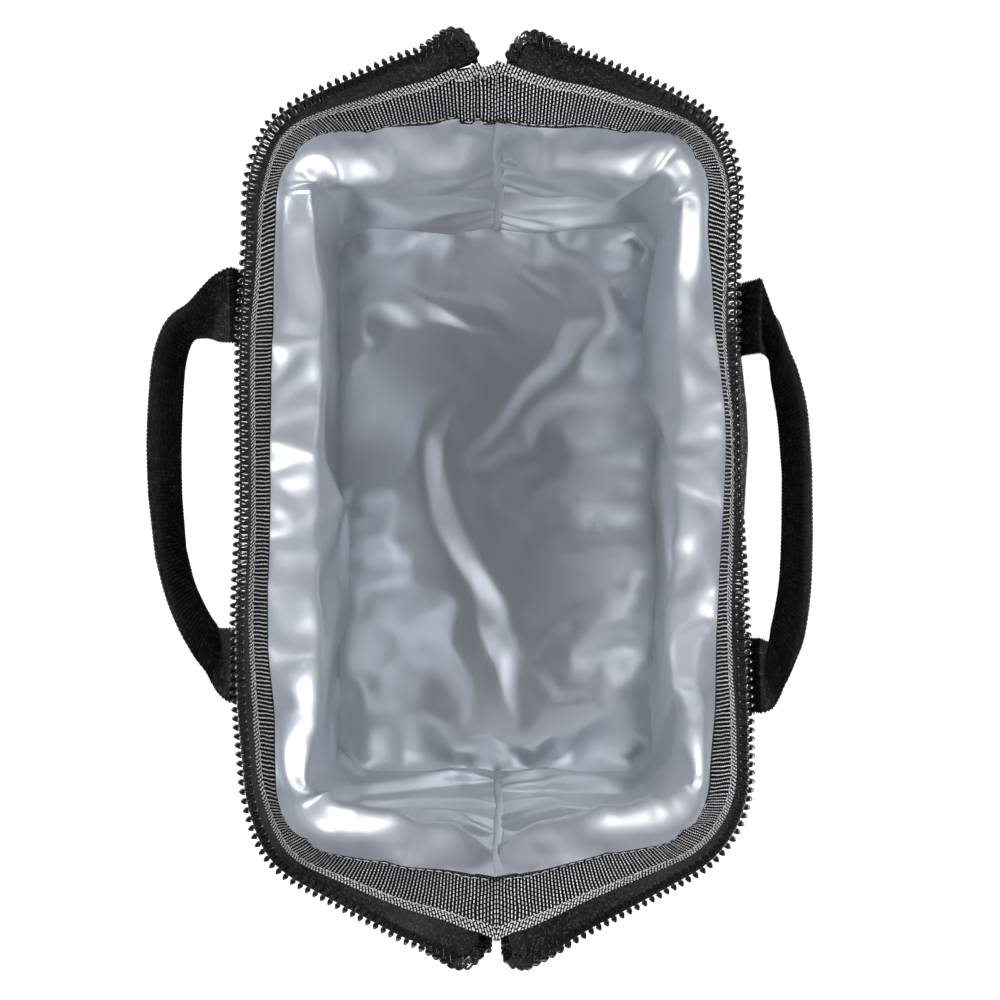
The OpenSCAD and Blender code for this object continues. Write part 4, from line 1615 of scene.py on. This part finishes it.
BACK_RAILS: dict[int, tuple[Row, ...]] = {
    1: (
        (79.3, 88.6, 179.5, 53.9, 88.4, 179.0), (79.1, 91.4, 184.0, 53.7, 91.0, 182.8),
        (76.0, 96.5, 185.2, 54.3, 95.5, 178.0), (71.5, 101.0, 185.0, 56.0, 99.5, 170.0),
        (66.5, 105.5, 184.5, 57.0, 103.5, 163.5), (62.0, 111.3, 184.0, 56.5, 107.3, 161.0),
        (55.0, 115.2, 183.3, 51.5, 109.8, 160.0), (44.0, 117.8, 183.0, 42.0, 111.3, 159.5),
        (22.0, 119.2, 183.0, 21.0, 112.3, 159.3), (2.0, 118.6, 183.0, 2.0, 112.0, 159.2),
    ),
    -1: (
        (-69.0, 88.6, 179.5, -43.6, 88.4, 179.2), (-68.8, 91.0, 183.8, -43.4, 91.0, 183.4),
        (-66.0, 94.8, 183.5, -43.8, 94.6, 179.6), (-62.5, 97.3, 182.5, -44.5, 97.3, 170.5),
        (-58.5, 99.6, 182.0, -44.0, 99.0, 163.0), (-53.0, 103.6, 182.3, -41.5, 101.5, 160.3),
        (-44.0, 108.4, 182.8, -36.0, 104.6, 159.7), (-33.0, 112.6, 183.0, -28.5, 107.8, 159.4),
        (-18.0, 116.4, 183.0, -16.0, 110.8, 159.3),
    ),
}


@dataclass
class Handle:
    """One carry handle: a single length of webbing, sewn flat on the wall at both ends."""

    side: Side
    rails: dict[int, tuple[Row, ...]]
    width: float = 25.4
    thick: float = 2.0
    foot_low: float = 131.0
    step: float = 0.34
    rib: float = WEBBING.along

    def foot_x(self, end: int) -> float:
        """Middle of one foot."""
        foot = self.rails[end][0]
        return (foot[0] + foot[3]) / 2

    def stations(self, end: int) -> Array:
        """Both edges of the webbing from one foot to the middle of the loop.

        Args:
            end: 1 for the foot towards +X, -1 for the other.

        Returns:
            Stations by 6, in millimetres, for the front wall: the outboard edge, then the inboard one.
        """
        middle, out = self.foot_x(end), []
        for z in (self.foot_low, 140, 150, 160, 168, 173):
            y = -(BAG.level(z)[0] + BAG.outside(z) + 1.25 + self.thick / 2)
            wall = DRIFT.moved(np.array([[middle, y * self.side.mirror, z]]))[0, 1] * self.side.mirror
            out.append([middle + end * self.width / 2, wall, z, middle - end * self.width / 2, wall, z])
        return np.vstack([out, self.rails[end] * np.array([1, -1, 1, 1, -1, 1])])

    def lines(self) -> tuple[Array, Array, Array, Array]:
        """The middle line, the vector from it to one edge, the face's normal and how deep it is cupped."""
        right, left = (curve(self.stations(end), 10) for end in (1, -1))
        whole = np.vstack([right, left[::-1][1:]])
        middle, wide = (whole[:, :3] + whole[:, 3:]) / 2, (whole[:, :3] - whole[:, 3:]) / 2
        chord = np.linalg.norm(wide, axis=1)
        cup = np.sqrt(np.clip(0.75 * chord * (self.width / 2 - chord), 0, None)) * 1.1
        face = unit(np.cross(np.gradient(middle, axis=0), wide))
        for part in (middle, wide, face):
            part[:, 1] *= self.side.mirror
        return middle, wide, face, cup

    def webbing(self) -> Object:
        """The webbing with rounded edges and a slight crown."""
        middle, wide, face, cup = self.lines()
        middle, index = walk(middle, self.step)
        wide, face, cup = (at_index(part, index) for part in (wide, face, cup[:, None]))
        run = np.arange(len(middle)) * self.step
        rib = np.abs(np.sin(np.pi * run / self.rib))[:, None] - 0.6
        across = np.linspace(-1, 1, 13)
        crown = (1 - across**8) ** 0.5
        ring = [*zip(across, crown), *zip(across[::-1], -crown[::-1]), (across[0], crown[0])]
        rows = []
        for t, k in ring:
            wobble = 0.18 * np.sin(run / 11.0 + 2 * t)[:, None] * abs(t) + 0.6 * rib * abs(t) ** 8
            lift = k * (self.thick / 2 + 0.3 * rib) - cup * (1 - t * t)
            rows.append(middle + wide * (t + wobble * t * 2 / self.width) + face * lift)
        uv = pairs(run, np.array([t for t, _ in ring]) * self.width / 2 + 40)
        obj = cloth_grid(f"handle_webbing_{self.side.value}", np.array(rows), uv)
        close_up(obj)
        smooth(obj, 50)
        WEBBING.dress(obj)
        return obj

    def foot_stitches(self, end: int) -> Object:
        """The sewn box with its cross on one foot."""
        low, high, half = self.foot_low + 4, self.foot_low + 26, 10.2
        a, b, c, d = (-half, low), (half, low), (half, high), (-half, high)
        rows = []
        for corners in ((a, b, c, d, a), (a, c), (b, d)):
            line = [np.linspace(*ends, 15, endpoint=False) for ends in zip(corners[:-1], corners[1:])]
            x, z = np.vstack([*line, corners[-1]]).T
            y = [-(BAG.level(height)[0] + BAG.outside(height) + 3.35) * self.side.mirror for height in z]
            points = np.column_stack([self.foot_x(end) + x, y, z])
            away = np.tile([0, -self.side.mirror, 0], (len(points), 1))
            rows.append(stitches("row", points, away, DARK_THREAD, 2.4, 0.5, 0.5))
        return join(f"handle_stitches_{self.side.value}_{hand(end)}", *rows)

    def build(self) -> None:
        """Make the webbing and its stitching."""
        name = self.side.value
        obj = self.webbing()
        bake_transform(obj)
        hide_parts(f"handle_strap_{name}", f"handle_end_{name}_left", f"handle_end_{name}_right")
        log.info("%s: %d faces", obj.name, len(obj.data.polygons))
        for end in (-1, 1):
            Piece(self.foot_stitches(end)).settle()


# ---------------------------------------------------------------- stage


@dataclass
class Studio:
    """Pale floor, soft light and the camera straight above."""

    height: float = 0.71
    lens: float = 55.6

    def camera(self) -> None:
        """Camera that looks straight down, with the long axis upright."""
        data = bpy.data.cameras.new("camera")
        data.lens, data.sensor_width = self.lens, 36.0
        data.clip_start, data.clip_end = 0.01, 20.0
        obj = new_object("camera", data)
        turn = Matrix(((0, 1, 0, 0), (-1, 0, 0, 0), (0, 0, 1, 0), (0, 0, 0, 1)))
        obj.matrix_world = Matrix.Translation((0, -0.0012, self.height)) @ turn
        bpy.context.scene.camera = obj

    def lamp(self, name: str, place: Row, size: float, power: float, tint: Row = (1, 1, 1)) -> None:
        """A square soft lamp that faces the bag.

        Args:
            name: Name of the lamp.
            place: Where it stands, in metres.
            size: Side of the square.
            power: Watts.
            tint: Colour of the light.
        """
        data = bpy.data.lights.new(name, "AREA")
        data.shape, data.size, data.energy, data.color = "SQUARE", size, power, tint
        obj = new_object(name, data)
        aim = (Vector((0, 0, 0.12)) - Vector(place)).to_track_quat("-Z", "Y")
        obj.matrix_world = Matrix.LocRotScale(Vector(place), aim, None)

    def floor(self) -> None:
        """A wide pale floor that keeps the bag's shadow."""
        deselect()
        bpy.ops.mesh.primitive_plane_add(size=14, location=(0, 0, -0.0002))
        obj = bpy.context.object
        obj.name = "floor"
        material = bpy.data.materials.new("pale floor")
        material.use_nodes = True
        g = Graph(material.node_tree)
        grain = g.noise(g.place(), 40.0)
        pale = g.blend(grain, grey(0.90), grey(0.95))
        shade = g.add("BsdfPrincipled", {"Base Color": pale, "Roughness": 0.9})
        away = g.add("VectorMath", {0: g.place()}, operation="LENGTH").outputs["Value"]
        lift = g.ramp(g.window(away, 0.5, 2.4), 0.55, 0.16)
        seen = g.add("LightPath").outputs["Is Camera Ray"]
        glow = g.add("Emission", {"Color": grey(1.0), "Strength": g.times(seen, lift)})
        both = g.add("AddShader", {0: shade.outputs[0], 1: glow.outputs[0]})
        g.add("OutputMaterial", {"Surface": both.outputs[0]})
        obj.data.materials.append(material)

    def world(self) -> None:
        """Plain light all round, white behind the bag."""
        world = bpy.data.worlds.new("studio")
        bpy.context.scene.world = world
        world.use_nodes = True
        g = Graph(world.node_tree)
        path = g.add("LightPath")
        seen = g.maths("MAXIMUM", path.outputs["Is Camera Ray"], path.outputs["Is Transmission Ray"])
        up = g.add("SeparateXYZ", {0: g.add("TexCoord").outputs["Generated"]}).outputs[2]
        dim = g.ramp(g.window(up, 0.70, 0.98), -0.30, 0.40)
        plain = g.add("Background", {"Color": (0.94, 0.96, 1.0, 1.0), "Strength": dim})
        white = g.add("Background", {"Color": grey(1.0), "Strength": 1.0})
        both = g.add("MixShader", {0: seen, 1: plain.outputs[0], 2: white.outputs[0]})
        g.add("OutputWorld", {"Surface": both.outputs[0]})

    def build(self) -> None:
        """Set up the stage."""
        scene = bpy.context.scene
        scene.view_settings.view_transform = "Standard"
        self.camera()
        self.floor()
        self.world()
        self.lamp("key softbox", (0.35, 1.15, 1.15), 0.4, 23.0)
        self.lamp("fill softbox", (-0.4, -1.15, 1.15), 0.4, 19.0, (0.95, 0.97, 1.0))
        self.lamp("near softbox", (-1.15, 0.25, 1.2), 0.6, 6.0)
        self.lamp("far softbox", (1.15, -0.1, 1.2), 0.6, 7.0)


def hidden_finishes() -> None:
    """Finishes for the layers inside the walls, which stay as they are in CAD."""
    FOAM.dress_node("base_foam")
    BOARD.dress_node("base_board")


def main() -> None:
    """Build the bag from the base up, then the stage."""
    logging.basicConfig(level=logging.INFO, format="%(name)s: %(message)s")
    hidden_finishes()
    OuterShell().build()
    Liner().build()
    Binding().build()
    Zip().build()
    Handle(Side.FRONT, FRONT_RAILS).build()
    Handle(Side.BACK, BACK_RAILS).build()
    Studio().build()


if __name__ == "__main__":
    main()
